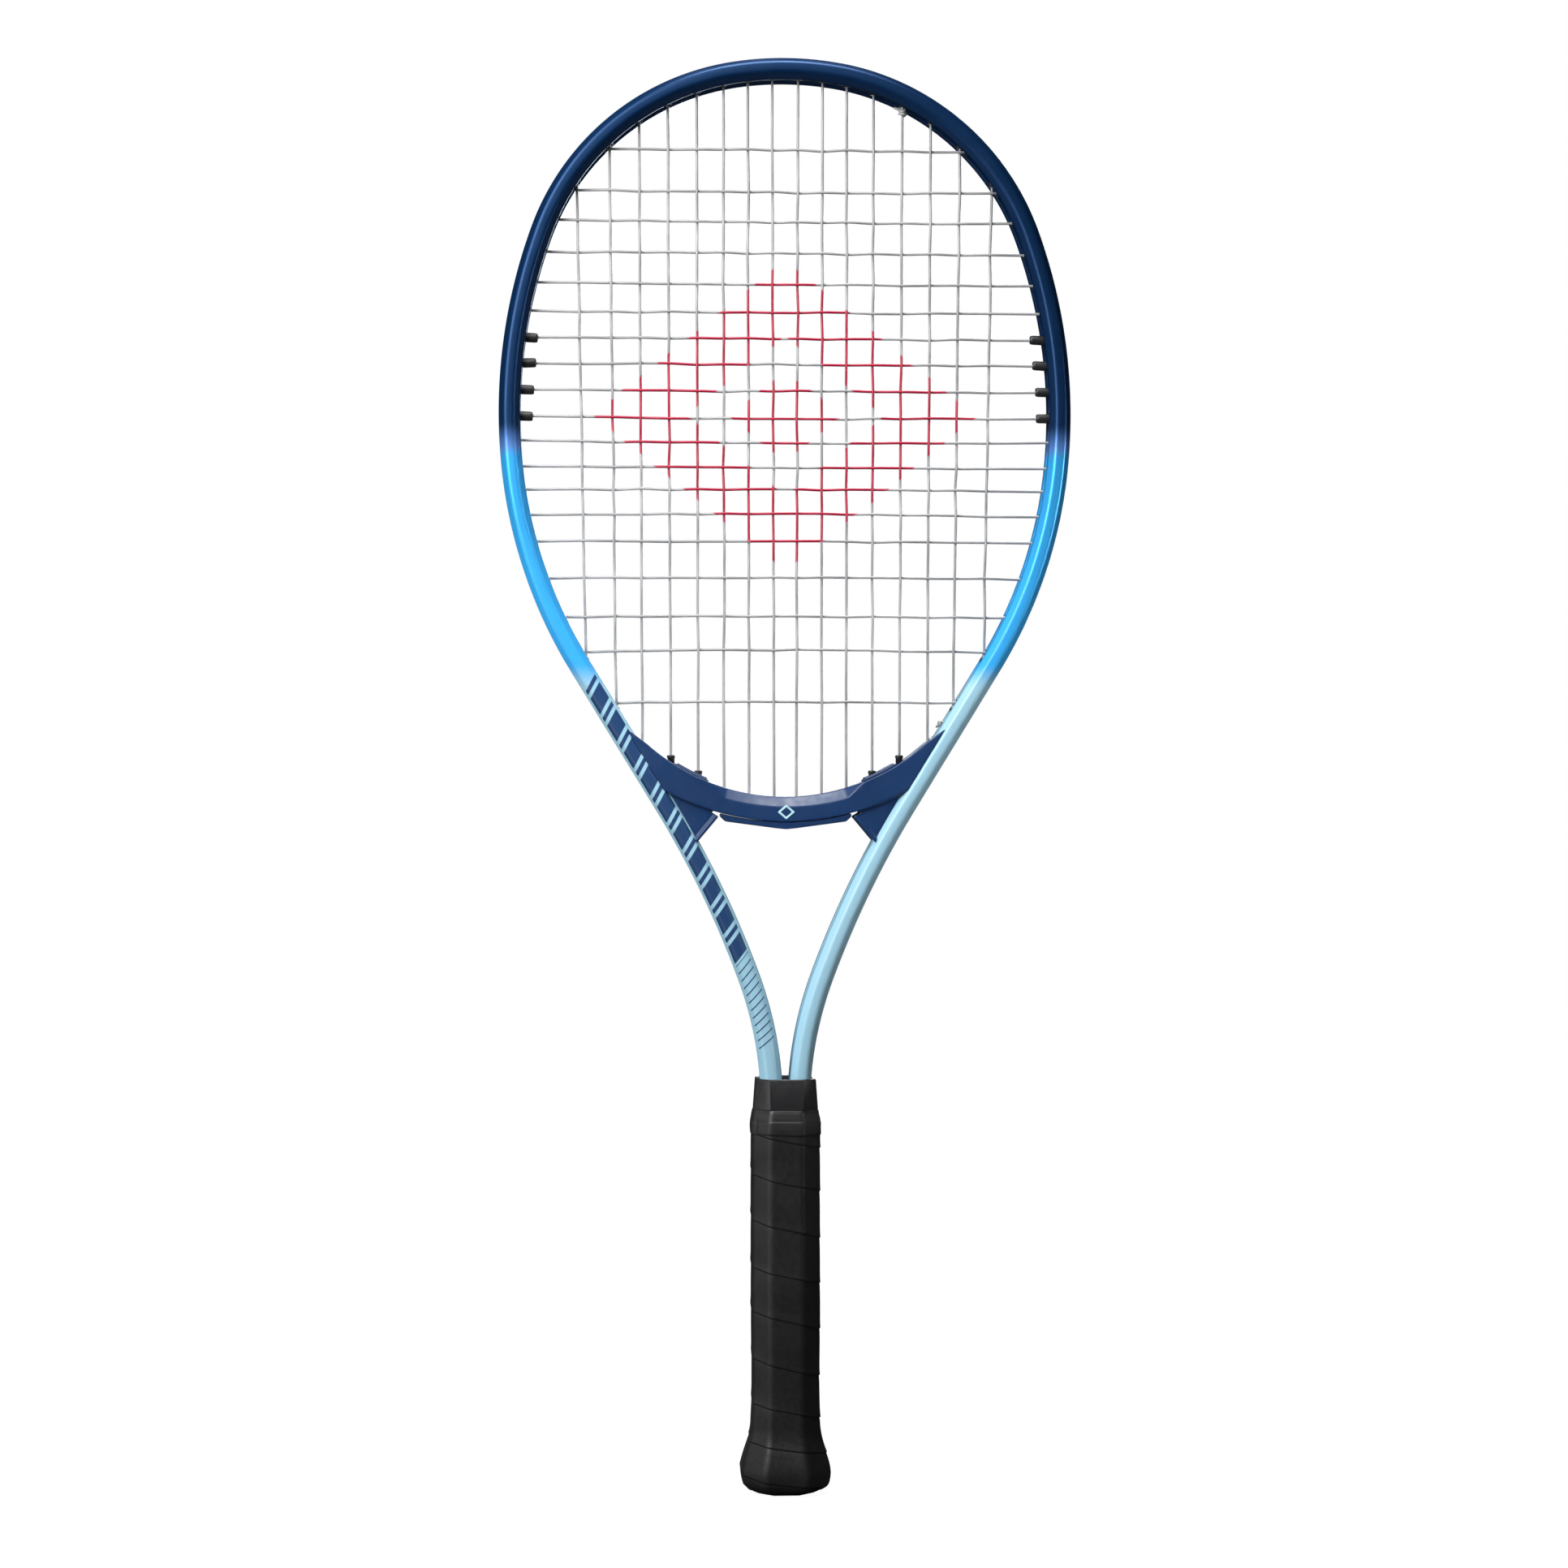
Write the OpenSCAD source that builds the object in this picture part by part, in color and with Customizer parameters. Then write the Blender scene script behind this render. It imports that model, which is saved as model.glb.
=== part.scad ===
// Tennis racket: one bent alloy tube, moulded throat bridge, woven strings, padded handle.
// Origin: centre of the butt end. +Z runs up the racket, the strings lie in the XZ plane,
// and the front of the racket faces -Y. Plan outlines are drawn in XY and stood up by upright().

/* [Overall] */
// Length from the butt end to the top of the head
overall_length = 692; // [680:1:700]

/* [Frame tube] */
// Width of the tube in the plane of the strings
tube_width = 10.4; // [10:0.1:10.6]
// Depth of the tube, front to back
tube_depth = 21; // [20:0.5:21]
// Wall thickness of the tube
tube_wall = 1; // [0.9:0.1:1.3]
// Length of the straight leg inside the handle
leg_length = 171; // [150:1:175]

/* [Strings] */
// Diameter of the string
string_d = 1.3; // [1.1:0.05:1.35]
// Bore of the grommets that guide the string
grommet_bore = 2; // [1.8:0.1:2.2]
// Outside diameter of the grommet barrels
grommet_d = 3.4; // [3:0.1:3.6]
// Outside diameter of the shock sleeves
sleeve_d = 4.6; // [4.2:0.1:5]
// How far a shock sleeve stands inside the head
sleeve_reach = 7; // [5:0.5:9]

/* [Bridge] */
// Depth of the bridge, front to back
bridge_depth = 20; // [18:0.5:20]
// Height of the bridge at its middle
bridge_height = 12; // [11:0.5:13]

/* [Handle] */
// Width of the grip across its side flats
grip_width = 33.6; // [33:0.1:35]
// Depth of the grip across its front and back flats
grip_depth = 30.4; // [30:0.1:32]
// Thickness of the wound grip
grip_thickness = 1.8; // [1.5:0.1:2]
// Greatest width of the flared butt
butt_width = 43.8; // [42:0.2:46]
// Height at which the grip ends and the finishing tape starts
grip_top = 173; // [168:1:176]

/* [Hidden] */
$fn = 32;
arc_fn = 144;
fit = 0.1;

// Half the tube section, used all over
half_w = tube_width / 2;
half_d = tube_depth / 2;
top_z = overall_length - half_w;

// Centreline of the right half of the frame, from the top of the head to the foot of the leg.
// [radius, sweep] bends towards the handle, [-radius, sweep] bends away, [0, length] is straight.
BENDS = [[152.5, 10], [118.8, 60], [255.5, 26], [225.65, 25.5], [0, 79.3], [-469.7, 11.37],
    [-179.9, 20.13], [0, leg_length]];
STRAIGHT = 4;
LEG = 7;

function turn(bend) = sign(bend[0]) * bend[1];
function heading(i) = i == 0 ? 0 : heading(i - 1) + turn(BENDS[i - 1]);
function along(a) = [cos(a), -sin(a)];
function inward(a) = [-sin(a), -cos(a)];
function centre(i) = start(i) + BENDS[i][0] * inward(heading(i));
function start(i) =
    i == 0 ? [0, top_z]
    : BENDS[i - 1][0] == 0 ? start(i - 1) + BENDS[i - 1][1] * along(heading(i - 1))
    : centre(i - 1) - BENDS[i - 1][0] * inward(heading(i));

leg_x = start(LEG)[0];
leg_foot_z = start(LEG)[1] - leg_length;

// Points on a curve that runs beside the centreline, at a distance out from it
function arc_z(i, x, out) = centre(i)[1] + sqrt(pow(BENDS[i][0] + out, 2) - pow(x - centre(i)[0], 2));
function arc_x(i, z, out) = centre(i)[0] + sqrt(pow(BENDS[i][0] + out, 2) - pow(z - centre(i)[1], 2));
function arc_end(i, out) = centre(i) - (BENDS[i][0] + out) * inward(heading(i + 1));
arm_a = start(STRAIGHT);
arm_heading = heading(STRAIGHT);
function arm_x(z, out) = arm_a[0] - out * inward(arm_heading)[0]
    + (arm_a[1] - out * inward(arm_heading)[1] - z) * cos(arm_heading) / sin(arm_heading);
function arm_z(x, out) = arm_a[1] - out * inward(arm_heading)[1]
    - (x - arm_a[0] + out * inward(arm_heading)[0]) * sin(arm_heading) / cos(arm_heading);
function head_z(x, out) = x < arc_end(0, out)[0] ? arc_z(0, x, out) : arc_z(1, x, out);
function side_x(z, out) =
    z > arc_end(1, out)[1] ? arc_x(1, z, out)
    : z > arc_end(2, out)[1] ? arc_x(2, z, out)
    : z > arc_end(3, out)[1] ? arc_x(3, z, out)
    : arm_x(z, out);
function foot_z(x, out) =
    x > arc_end(3, out)[0] ? 2 * centre(3)[1] - arc_z(3, x, out) : arm_z(x, out);

// ---- String layout -------------------------------------------------------------------------
// Distance of each main string from the middle, at the head and at the throat
MAIN_HEAD = [6.1, 18, 29.8, 42.7, 56.6, 70.4, 84.5, 100.3];
MAIN_THROAT = [5.5, 17.6, 29.6, 42.2, 55.5, 69.2, 81.8, 96.2];
main_head_z = top_z - 67;
main_throat_z = top_z - 293;
// Distance of each cross string below the top of the centreline
CROSS_DROP = [38.4, 58.2, 72.7, 88.2, 103, 116.6, 129.5, 142, 154.7, 167.4, 179.1, 191.7, 202.9,
    215.1, 227.9, 245.7, 264.2, 281.2, 305.5];
MAINS = len(MAIN_HEAD);
CROSSES = len(CROSS_DROP);
// Crosses that carry a shock sleeve
FIRST_SLEEVE = 6;
LAST_SLEEVE = 9;

function lerp(a, b, t) = a + (b - a) * t;
function main_x(i, z) =
    lerp(MAIN_THROAT[i], MAIN_HEAD[i], (z - main_throat_z) / (main_head_z - main_throat_z));
function cross_z(k) = top_z - CROSS_DROP[k];

// Strings weave over and under each other, and run round the frame in its outer groove
weave = string_d / 2 + 0.03;
groove_floor = half_w - 2.4;
loop_out = groove_floor + 0.85 + string_d / 2;
loop_side = 1.6;

// ---- Bridge plan ---------------------------------------------------------------------------
bridge_r = 101;
bridge_top_z = top_z - 350.9;
bridge_centre_z = bridge_top_z + bridge_r;
bridge_reach = 53.7;
wing_slope = 0.75;
bridge_under_r = 122;
bridge_under_z = bridge_top_z - bridge_height + bridge_under_r;
bridge_slot = 5;
bridge_slot_r = bridge_under_r - 2;
function bridge_upper(x) =
    let(edge = min(x, bridge_reach))
    bridge_centre_z - sqrt(bridge_r * bridge_r - edge * edge) + (x - edge) * wing_slope;
function ring_low(x, r, z) = z - sqrt(r * r - x * x);

// ---- Handle --------------------------------------------------------------------------------
pallet_width = grip_width - 2 * grip_thickness;
pallet_depth = grip_depth - 2 * grip_thickness;
pallet_foot_z = 6;
tape_top = grip_top + 12.2;
collar_top = tape_top + 14.8;
flare_top = 32;

// Stands a plan drawn in XY up into the XZ plane, with the front towards -Y
module upright() {
    rotate([90, 0, 0]) children();
}

// The other side of the racket
module both_sides() {
    children();
    mirror([1, 0, 0]) children();
}

// ---- Frame tube ----------------------------------------------------------------------------
// Section of the tube: x points away from the strings, y is depth
module tube_outline(grow) {
    bevel = 4;
    w = half_w + grow;
    d = half_d + grow;
    floor_x = groove_floor + grow;
    channel_x = grow + half_w - 1.4;
    polygon([[-w, d - bevel], [-w + 3, d], [w - 2.7, d], [w, d - bevel], [w, 4.8], [floor_x, 3.8],
        [floor_x, -3.8], [w, -4.8], [w, bevel - d], [w - 2.7, -d], [-w + 3, -d], [-w, bevel - d],
        [-w, -5.2], [-channel_x, -3.8], [-channel_x, 3.8], [-w, 5.2]]);
}

// Hollow inside of the tube
module tube_cavity(wall) {
    inner = half_w - 1.4 - wall;
    outer = groove_floor - wall;
    side = half_w - wall;
    end = half_d - wall;
    polygon([[-inner, 4], [-side, 5.6], [-side, end - 3.2], [-half_w + 3.6, end],
        [half_w - 3.3, end], [side, end - 3.2], [side, 5.4], [outer, 4.2], [outer, -4.2],
        [side, -5.4], [side, 3.2 - end], [half_w - 3.3, -end], [-half_w + 3.6, -end],
        [-side, 3.2 - end], [-side, -5.6], [-inner, -4]]);
}

// Wall of the tube, a little thicker at a weld between two bends
module tube_section(grow) {
    difference() {
        tube_outline(grow);
        tube_cavity(tube_wall + grow);
    }
}

// Filled section with clearance, used to trim the bridge to the arms
module trim_section(grow) {
    w = half_w + fit + grow;
    d = half_d + fit + grow;
    polygon([[-w, d - 4], [-w + 3, d], [w, d], [w, -d], [-w + 3, -d], [-w, 4 - d]]);
}

// Neighbouring bends stop short of each other by this much, and a short weld joins them
weld_gap = 0.1;
weld_grow = 0.03;
weld_length = 1;

// Moves in whole millimetres first and then by the rest, which keeps small numbers exact
module exact_move(p) {
    whole = [round(p[0]), round(p[1])];
    translate(whole) translate(p - whole) children();
}

// Sweeps its children along one bend of the centreline; the first bend spans both sides
module sweep_bend(i) {
    radius = abs(BENDS[i][0]);
    if (radius > 0) {
        trim = weld_gap / radius * 180 / PI;
        turned = BENDS[i][1];
        first = BENDS[i][0] > 0 ? 90 - heading(i + 1) : 270 - heading(i);
        exact_move(centre(i))
            rotate_extrude(angle = (i == 0 ? 2 : 1) * turned - 2 * trim, start = first + trim, $fn = arc_fn)
                translate([radius, 0]) mirror([BENDS[i][0] < 0 ? 1 : 0, 0]) children();
    } else
        exact_move(start(i) + BENDS[i][1] / 2 * along(heading(i))) rotate([90, 0, 90 - heading(i)])
            linear_extrude(BENDS[i][1] - 2 * weld_gap, center = true) children();
}

// Welds at the start of bend i
module weld(i) {
    exact_move(start(i)) rotate([90, 0, 90 - heading(i)])
        linear_extrude(weld_length, center = true) children();
}

// Filled outline of both arms
module arm_envelope() {
    both_sides() {
        for (i = [2 : LEG]) sweep_bend(i) trim_section(0);
        for (i = [3 : LEG]) weld(i) trim_section(weld_grow);
    }
}

// Holes for the mains and crosses, drilled along each string
module string_holes(d) {
    reach = tube_width + 12;
    for (i = [0 : MAINS - 1]) {
        x = main_x(i, head_z(MAIN_HEAD[i], 0));
        translate([x, head_z(x, 0)]) rotate([90, 0, 0]) cylinder(d = d, h = reach, center = true);
    }
    for (i = [5 : MAINS - 1]) {
        x = main_x(i, foot_z(MAIN_THROAT[i], 0));
        translate([x, foot_z(x, 0)]) rotate([90, 0, 0]) cylinder(d = d, h = reach, center = true);
    }
    for (k = [0 : CROSSES - 1])
        translate([side_x(cross_z(k), 0), cross_z(k)]) rotate([0, 90, 0])
            cylinder(d = d, h = reach, center = true);
}

module frame_tube() {
    color("#2f77b5") upright() difference() {
        union() {
            sweep_bend(0) tube_section(0);
            both_sides() for (i = [1 : LEG]) {
                sweep_bend(i) tube_section(0);
                weld(i) tube_section(weld_grow);
            }
        }
        both_sides() string_holes(grommet_d + fit);
        both_sides() at_rivets() cylinder(d = rivet_d, h = 30, center = true);
        translate([tie_off_x, tie_off_z]) rotate([0, 90, 0])
            cylinder(d = grommet_bore, h = 8, center = true);
    }
}

// ---- Grommets ------------------------------------------------------------------------------
strip_width = 6.6;
strip_thickness = 0.7;

// Flat strip that lies in the outer groove of the tube
module strip_outline(grow) {
    translate([groove_floor + fit / 2 - grow, -strip_width / 2 - grow])
        square([strip_thickness + 2 * grow, strip_width + 2 * grow]);
}

// Barrels between two distances out from the centreline, for one string on each side
module head_barrels(i, d, start_out, end_out) {
    x = main_x(i, head_z(MAIN_HEAD[i], 0));
    outer_z = head_z(x, start_out);
    inner_z = head_z(x, end_out);
    translate([x, inner_z]) rotate([-90, 0, 0]) cylinder(d = d, h = outer_z - inner_z);
}

module foot_barrels(i, d, start_out, end_out) {
    x = main_x(i, foot_z(MAIN_THROAT[i], 0));
    outer_z = foot_z(x, start_out);
    inner_z = foot_z(x, end_out);
    translate([x, outer_z]) rotate([-90, 0, 0]) cylinder(d = d, h = inner_z - outer_z);
}

module side_barrels(k, d, start_out, end_out) {
    outer_x = side_x(cross_z(k), start_out);
    inner_x = side_x(cross_z(k), end_out);
    translate([inner_x, cross_z(k)]) rotate([0, 90, 0]) cylinder(d = d, h = outer_x - inner_x);
}

function is_sleeved(k) = k >= FIRST_SLEEVE && k <= LAST_SLEEVE;
barrel_in = 0.8 - half_w;
through = 6;

module head_grommet_strip() {
    color("#15171b") upright() difference() {
        union() {
            sweep_bend(0) strip_outline(0);
            both_sides() {
                weld(1) strip_outline(weld_grow);
                intersection() {
                    sweep_bend(1) strip_outline(0);
                    translate([0, top_z - 50, -tube_depth]) cube([MAIN_HEAD[7] + 2, 80, 2 * tube_depth]);
                }
            }
            both_sides() for (i = [0 : MAINS - 1])
                head_barrels(i, grommet_d, groove_floor + strip_thickness / 2, barrel_in);
            both_sides() side_barrels(0, grommet_d, groove_floor + strip_thickness / 2, barrel_in);
        }
        both_sides() for (i = [0 : MAINS - 1]) head_barrels(i, grommet_bore, through, -through);
        both_sides() side_barrels(0, grommet_bore, through + 2, -through - 2);
    }
}

module side_grommet_strip() {
    difference() {
        union() {
            intersection() {
                for (i = [1 : STRAIGHT]) {
                    sweep_bend(i) strip_outline(0);
                    weld(i) strip_outline(weld_grow);
                }
                translate([40, cross_z(CROSSES - 1) - 6, -tube_depth])
                    cube([120, CROSS_DROP[CROSSES - 1] - CROSS_DROP[1] + 12, 2 * tube_depth]);
            }
            for (k = [1 : CROSSES - 1])
                side_barrels(k, grommet_d, groove_floor + strip_thickness / 2,
                    is_sleeved(k) ? 0 : barrel_in);
        }
        for (k = [1 : CROSSES - 1]) side_barrels(k, grommet_bore, through + 4, -through - 4);
        for (i = [6 : MAINS - 1]) foot_barrels(i, grommet_d + 2 * fit, through, -through);
    }
}

module side_grommet_strip_right() {
    color("#15171b") upright() side_grommet_strip();
}

module side_grommet_strip_left() {
    color("#15171b") mirror([1, 0, 0]) upright() side_grommet_strip();
}

// Single grommets for the mains that end in the arms
module arm_grommets() {
    color("#15171b") upright() both_sides() for (i = [5 : MAINS - 1]) difference() {
        foot_barrels(i, grommet_d, groove_floor, barrel_in);
        foot_barrels(i, grommet_bore, through, -through);
    }
}

module shock_sleeves() {
    for (k = [FIRST_SLEEVE : LAST_SLEEVE]) difference() {
        side_barrels(k, sleeve_d, wall_out - 0.2, -half_w - sleeve_reach);
        side_barrels(k, grommet_bore, through, -half_w - sleeve_reach - 1);
    }
}

module shock_sleeves_right() {
    color("#202124") upright() shock_sleeves();
}

module shock_sleeves_left() {
    color("#202124") mirror([1, 0, 0]) upright() shock_sleeves();
}

// ---- Bridge --------------------------------------------------------------------------------
gusset_tip = [43.2, bridge_top_z - 22.4];
gusset_inner = [32.5, bridge_top_z - 9.6];
gusset_rim = 1.8;
gusset_step = 0.8;
panel_depth = 1.2;

// Curved band under the head
module yoke_plan() {
    difference() {
        translate([0, bridge_under_z]) circle(r = bridge_under_r, $fn = 2 * arc_fn);
        translate([0, bridge_centre_z]) circle(r = bridge_r, $fn = 2 * arc_fn);
        polygon([[-150, bridge_upper(150)], [-bridge_reach, bridge_upper(bridge_reach)],
            [bridge_reach, bridge_upper(bridge_reach)], [150, bridge_upper(150)], [150, top_z + 20],
            [-150, top_z + 20]]);
        for (side = [-1, 1]) polygon([[side * arm_x(bridge_top_z - 60, 0), bridge_top_z - 60],
            [side * arm_x(bridge_top_z + 50, 0), bridge_top_z + 50], [side * 150, top_z],
            [side * 150, bridge_top_z - 60]]);
    }
}

module gusset_plan() {
    polygon([gusset_inner, gusset_tip, [arm_x(gusset_tip[1], 0), gusset_tip[1]],
        [arm_x(bridge_top_z + 8, 0), bridge_top_z + 8], [bridge_reach, bridge_top_z + 4]]);
}

// Gusset with a sunk panel front and back, bounded by a rim along its free edge
module gusset() {
    edge = unit(gusset_tip - gusset_inner);
    inset = gusset_rim * [-edge[1], edge[0]];
    face = bridge_depth / 2 - gusset_step;
    difference() {
        linear_extrude(2 * face, center = true) gusset_plan();
        for (flip = [0, 1]) mirror([0, 0, flip]) translate([0, 0, face - panel_depth])
            linear_extrude(bridge_depth) polygon([gusset_inner + inset - 10 * edge,
                gusset_tip + inset + 10 * edge, gusset_tip + [40, 0], gusset_inner + [40, 20]]);
    }
}

// Cuts the bevel along the upper edge of the middle. At each end a slanted plane through three
// points, on the upper face, on the front face and on the edge between them, makes it run out.
bevel_drop = 4.9;
bevel_in = 4.2;
bevel_end = 16.4;
bevel_run_out = 22.1;

function on_bridge(a, r, y) = [r * sin(a), bridge_centre_z - r * cos(a), y];

module bridge_bevel() {
    edge_y = bridge_depth / 2;
    corners = [on_bridge(bevel_end, bridge_r, edge_y - bevel_in),
        on_bridge(bevel_end, bridge_r + bevel_drop, edge_y), on_bridge(bevel_run_out, bridge_r, edge_y)];
    middle = (corners[0] + corners[1] + corners[2]) / 3;
    into_body = unit(cross(corners[2] - corners[0], corners[1] - corners[0]));
    difference() {
        translate([0, bridge_centre_z]) rotate_extrude(angle = 2 * bevel_run_out + 2,
            start = 269 - bevel_run_out, $fn = arc_fn) polygon([[bridge_r - 2, edge_y - bevel_in],
                [bridge_r, edge_y - bevel_in], [bridge_r + bevel_drop, edge_y],
                [bridge_r + bevel_drop, edge_y + 5], [bridge_r - 2, edge_y + 5]]);
        both_sides() polyhedron(
            points = concat([for (c = corners) middle + 12 * (c - middle)], [middle + 30 * into_body]),
            faces = [[0, 2, 1], [0, 1, 3], [1, 2, 3], [2, 0, 3]]);
    }
}

module bridge_mains(d) {
    for (i = [0 : 5]) translate([main_x(i, bridge_top_z), bridge_top_z - 30]) rotate([-90, 0, 0])
        cylinder(d = d, h = 80);
}

rivet_d = 3.2;
RIVETS = [74, 87];

// Places its children on the arm with +Z pointing out of the racket
module at_rivets() {
    out = -inward(arm_heading);
    for (t = RIVETS) translate(arm_a + t * along(arm_heading))
        rotate([0, 90, atan2(out[1], out[0])]) children();
}

module throat_bridge() {
    color("#1f3f6b") upright() difference() {
        union() {
            linear_extrude(bridge_depth, center = true) yoke_plan();
            both_sides() gusset();
        }
        arm_envelope();
        for (flip = [0, 1]) mirror([0, 0, flip]) bridge_bevel();
        // Slot along the underside where the strings turn
        difference() {
            translate([-bridge_reach - 5, bridge_top_z - 40, -bridge_slot / 2])
                cube([2 * bridge_reach + 10, 60, bridge_slot]);
            translate([0, bridge_under_z]) cylinder(r = bridge_slot_r, h = 40, center = true,
                $fn = 2 * arc_fn);
        }
        both_sides() bridge_mains(2.4);
        both_sides() pad_grommets(grommet_d + 2 * fit, 30);
        both_sides() at_rivets() translate([0, 0, -half_w - 7]) cylinder(d = rivet_d, h = 10);
    }
}

// Strip that closes the slot under the middle of the bridge
module bridge_lower_strip() {
    reach = 31.5;
    drop = 15.7;
    color("#1b3a66") upright() linear_extrude(bridge_depth - 2, center = true) difference() {
        polygon([[-reach, bridge_top_z - 7], [-reach, bridge_top_z - 9.6],
            [-reach + 2.5, bridge_top_z - 12], [-5, bridge_top_z - drop + 0.5], [0, bridge_top_z - drop], [5, bridge_top_z - drop + 0.5],
            [reach - 2.5, bridge_top_z - 12], [reach, bridge_top_z - 9.6], [reach, bridge_top_z - 7]]);
        translate([0, bridge_under_z]) circle(r = bridge_under_r + fit, $fn = 2 * arc_fn);
    }
}

// Raised pads on the head side of the bridge, which carry two grommets each
pad_height = 1.6;
pad_width = 15;
pad_start = asin(37.5 / bridge_r);
pad_sweep = asin(bridge_reach / bridge_r) - pad_start;

module pad_grommets(d, depth) {
    for (i = [3, 4]) {
        x = main_x(i, bridge_top_z);
        translate([x, bridge_upper(x) - depth]) rotate([-90, 0, 0]) cylinder(d = d, h = depth + 4.2);
    }
}

module pad_step(trim, width, height) {
    translate([0, bridge_centre_z])
        rotate_extrude(angle = pad_sweep - 2 * trim, start = 270 + pad_start + trim, $fn = arc_fn)
            translate([bridge_r - height, -width / 2]) square([height - fit / 2, width]);
}

module bridge_pad() {
    difference() {
        union() {
            pad_step(0, pad_width, pad_height / 2);
            pad_step(0.6, pad_width - 3, pad_height);
        }
        pad_grommets(grommet_d + 2 * fit, 30);
    }
}

module bridge_pad_right() {
    color("#24497a") upright() bridge_pad();
}

module bridge_pad_left() {
    color("#24497a") mirror([1, 0, 0]) upright() bridge_pad();
}

module bridge_grommets() {
    color("#15171b") upright() both_sides() difference() {
        pad_grommets(grommet_d, 10);
        translate([0, -1]) pad_grommets(grommet_bore, 12);
        translate([0, 1]) pad_grommets(grommet_bore, 12);
    }
}

module bridge_rivets() {
    head_d = 6;
    head_height = 1.2;
    color("#b9bec4") upright() both_sides() at_rivets() {
        translate([0, 0, -half_w - 6]) cylinder(d = rivet_d - fit, h = half_w + 6 + groove_floor + fit);
        translate([0, 0, groove_floor + fit / 2]) cylinder(d = head_d, h = head_height);
    }
}

// ---- Strings -------------------------------------------------------------------------------
STRING_SIDES = 6;

function unit(v) = v / norm(v);
function step_dir(path, j) = unit([path[j + 1][0] - path[j][0], 0, path[j + 1][2] - path[j][2]]);
function before(path, j) = step_dir(path, max(j - 1, 0));
function after(path, j) = step_dir(path, min(j, len(path) - 2));

// One ring of points round point j of a path; the path never runs along Y
function ring(path, j) =
    let(middle = unit(before(path, j) + after(path, j)),
        widen = 1 / max(0.7, middle * after(path, j)),
        side = [middle[2], 0, -middle[0]] * widen)
    [for (k = [0 : STRING_SIDES - 1]) let(a = 360 * k / STRING_SIDES)
        path[j] + string_d / 2 * (cos(a) * side + [0, sin(a), 0])];

// Round string swept along a path of points
module string_along(path) {
    n = STRING_SIDES;
    last = len(path) - 1;
    polyhedron(
        points = [for (j = [0 : last]) each ring(path, j)],
        faces = concat(
            [[for (k = [0 : n - 1]) k]],
            [[for (k = [n - 1 : -1 : 0]) last * n + k]],
            [for (j = [0 : last - 1], k = [0 : n - 1])
                [j * n + k, (j + 1) * n + k, (j + 1) * n + (k + 1) % n, j * n + (k + 1) % n]]));
}

wall_out = 1.4 - half_w;
function over(i, k) = (i + k) % 2 == 0 ? weave : -weave;
function main_head_wall(i) = head_z(MAIN_HEAD[i], wall_out);
function main_foot_wall(i) = i < 6 ? bridge_upper(MAIN_THROAT[i]) : foot_z(MAIN_THROAT[i], wall_out);
function crosses_main(i, k) = cross_z(k) < main_head_wall(i) - 1 && cross_z(k) > main_foot_wall(i) + 1;

// Lowest point of a main: in the slot of the bridge, or in the outer groove of the arm
function turn_z(i, x) =
    i < 5 ? ring_low(x, bridge_slot_r + 0.1 + string_d / 2, bridge_under_z) : foot_z(x, loop_out);

// Crossing points of main i from the head down
function main_crossings(i) =
    [for (k = [0 : CROSSES - 1]) if (crosses_main(i, k))
        [main_x(i, cross_z(k)), over(i, k), cross_z(k)]];

function main_down(i) =
    let(top_x = main_x(i, main_head_wall(i)), foot_x = main_x(i, main_foot_wall(i)))
    concat([[top_x, 0, head_z(top_x, groove_floor)]], main_crossings(i),
        [[foot_x, 0, turn_z(i, foot_x) + (i < 5 ? 1.6 : 2.6)]]);

function reversed(list) = [for (j = [len(list) - 1 : -1 : 0]) list[j]];

// Run in the outer groove of the head from main i to main i + 1
function head_loop(i) =
    let(a = main_x(i, main_head_wall(i)), b = main_x(i + 1, main_head_wall(i + 1)))
    [for (t = [0.06, 0.2, 0.5, 0.8, 0.94]) let(x = lerp(a, b, t))
        [x, t < 0.1 || t > 0.9 ? loop_side / 2 : loop_side, head_z(x, loop_out)]];

// Run under the throat from main i to main i + 1
function throat_loop(i) =
    let(a = main_x(i, main_foot_wall(i)), b = main_x(i + 1, main_foot_wall(i + 1)))
    [for (t = [0.06, 0.35, 0.65, 0.94]) let(x = lerp(a, b, t)) [x, 0, turn_z(i, x)]];

first_x = main_x(0, bridge_top_z);
half_main_path = concat(
    [for (t = [0, 0.5, 0.9]) [t * first_x, 0, turn_z(0, t * first_x)]],
    [for (i = [0 : 2 : MAINS - 2]) each concat(
        reversed(main_down(i)), head_loop(i), main_down(i + 1),
        i + 2 < MAINS ? throat_loop(i + 1) : [])]);

module main_strings() {
    color("#dcdde0") for (turned = [0, 180]) rotate(turned) string_along(half_main_path);
}

// Crossing points of cross k from left to right
function cross_points(k) = concat(
    [for (i = [MAINS - 1 : -1 : 0]) if (crosses_main(i, k))
        [-main_x(i, cross_z(k)), over(i, k), cross_z(k)]],
    [for (i = [0 : MAINS - 1]) if (crosses_main(i, k))
        [main_x(i, cross_z(k)), -over(i, k), cross_z(k)]]);

function cross_line(k) =
    let(end_x = side_x(cross_z(k), groove_floor))
    concat([[-end_x, 0, cross_z(k)]], cross_points(k), [[end_x, 0, cross_z(k)]]);

// Run in the outer groove from cross k down to cross k + 1
function side_loop(k, side) =
    [for (t = [0.06, 0.3, 0.7, 0.94]) let(z = lerp(cross_z(k), cross_z(k + 1), t))
        [side * side_x(z, loop_out), t < 0.1 || t > 0.9 ? -loop_side / 2 : -loop_side, z]];

cross_path = [for (k = [0 : CROSSES - 1]) each concat(
    k % 2 == 0 ? cross_line(k) : reversed(cross_line(k)),
    k + 1 < CROSSES ? side_loop(k, k % 2 == 0 ? 1 : -1) : [])];

module cross_strings() {
    color("#d3d5d9") string_along(cross_path);
}

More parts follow.
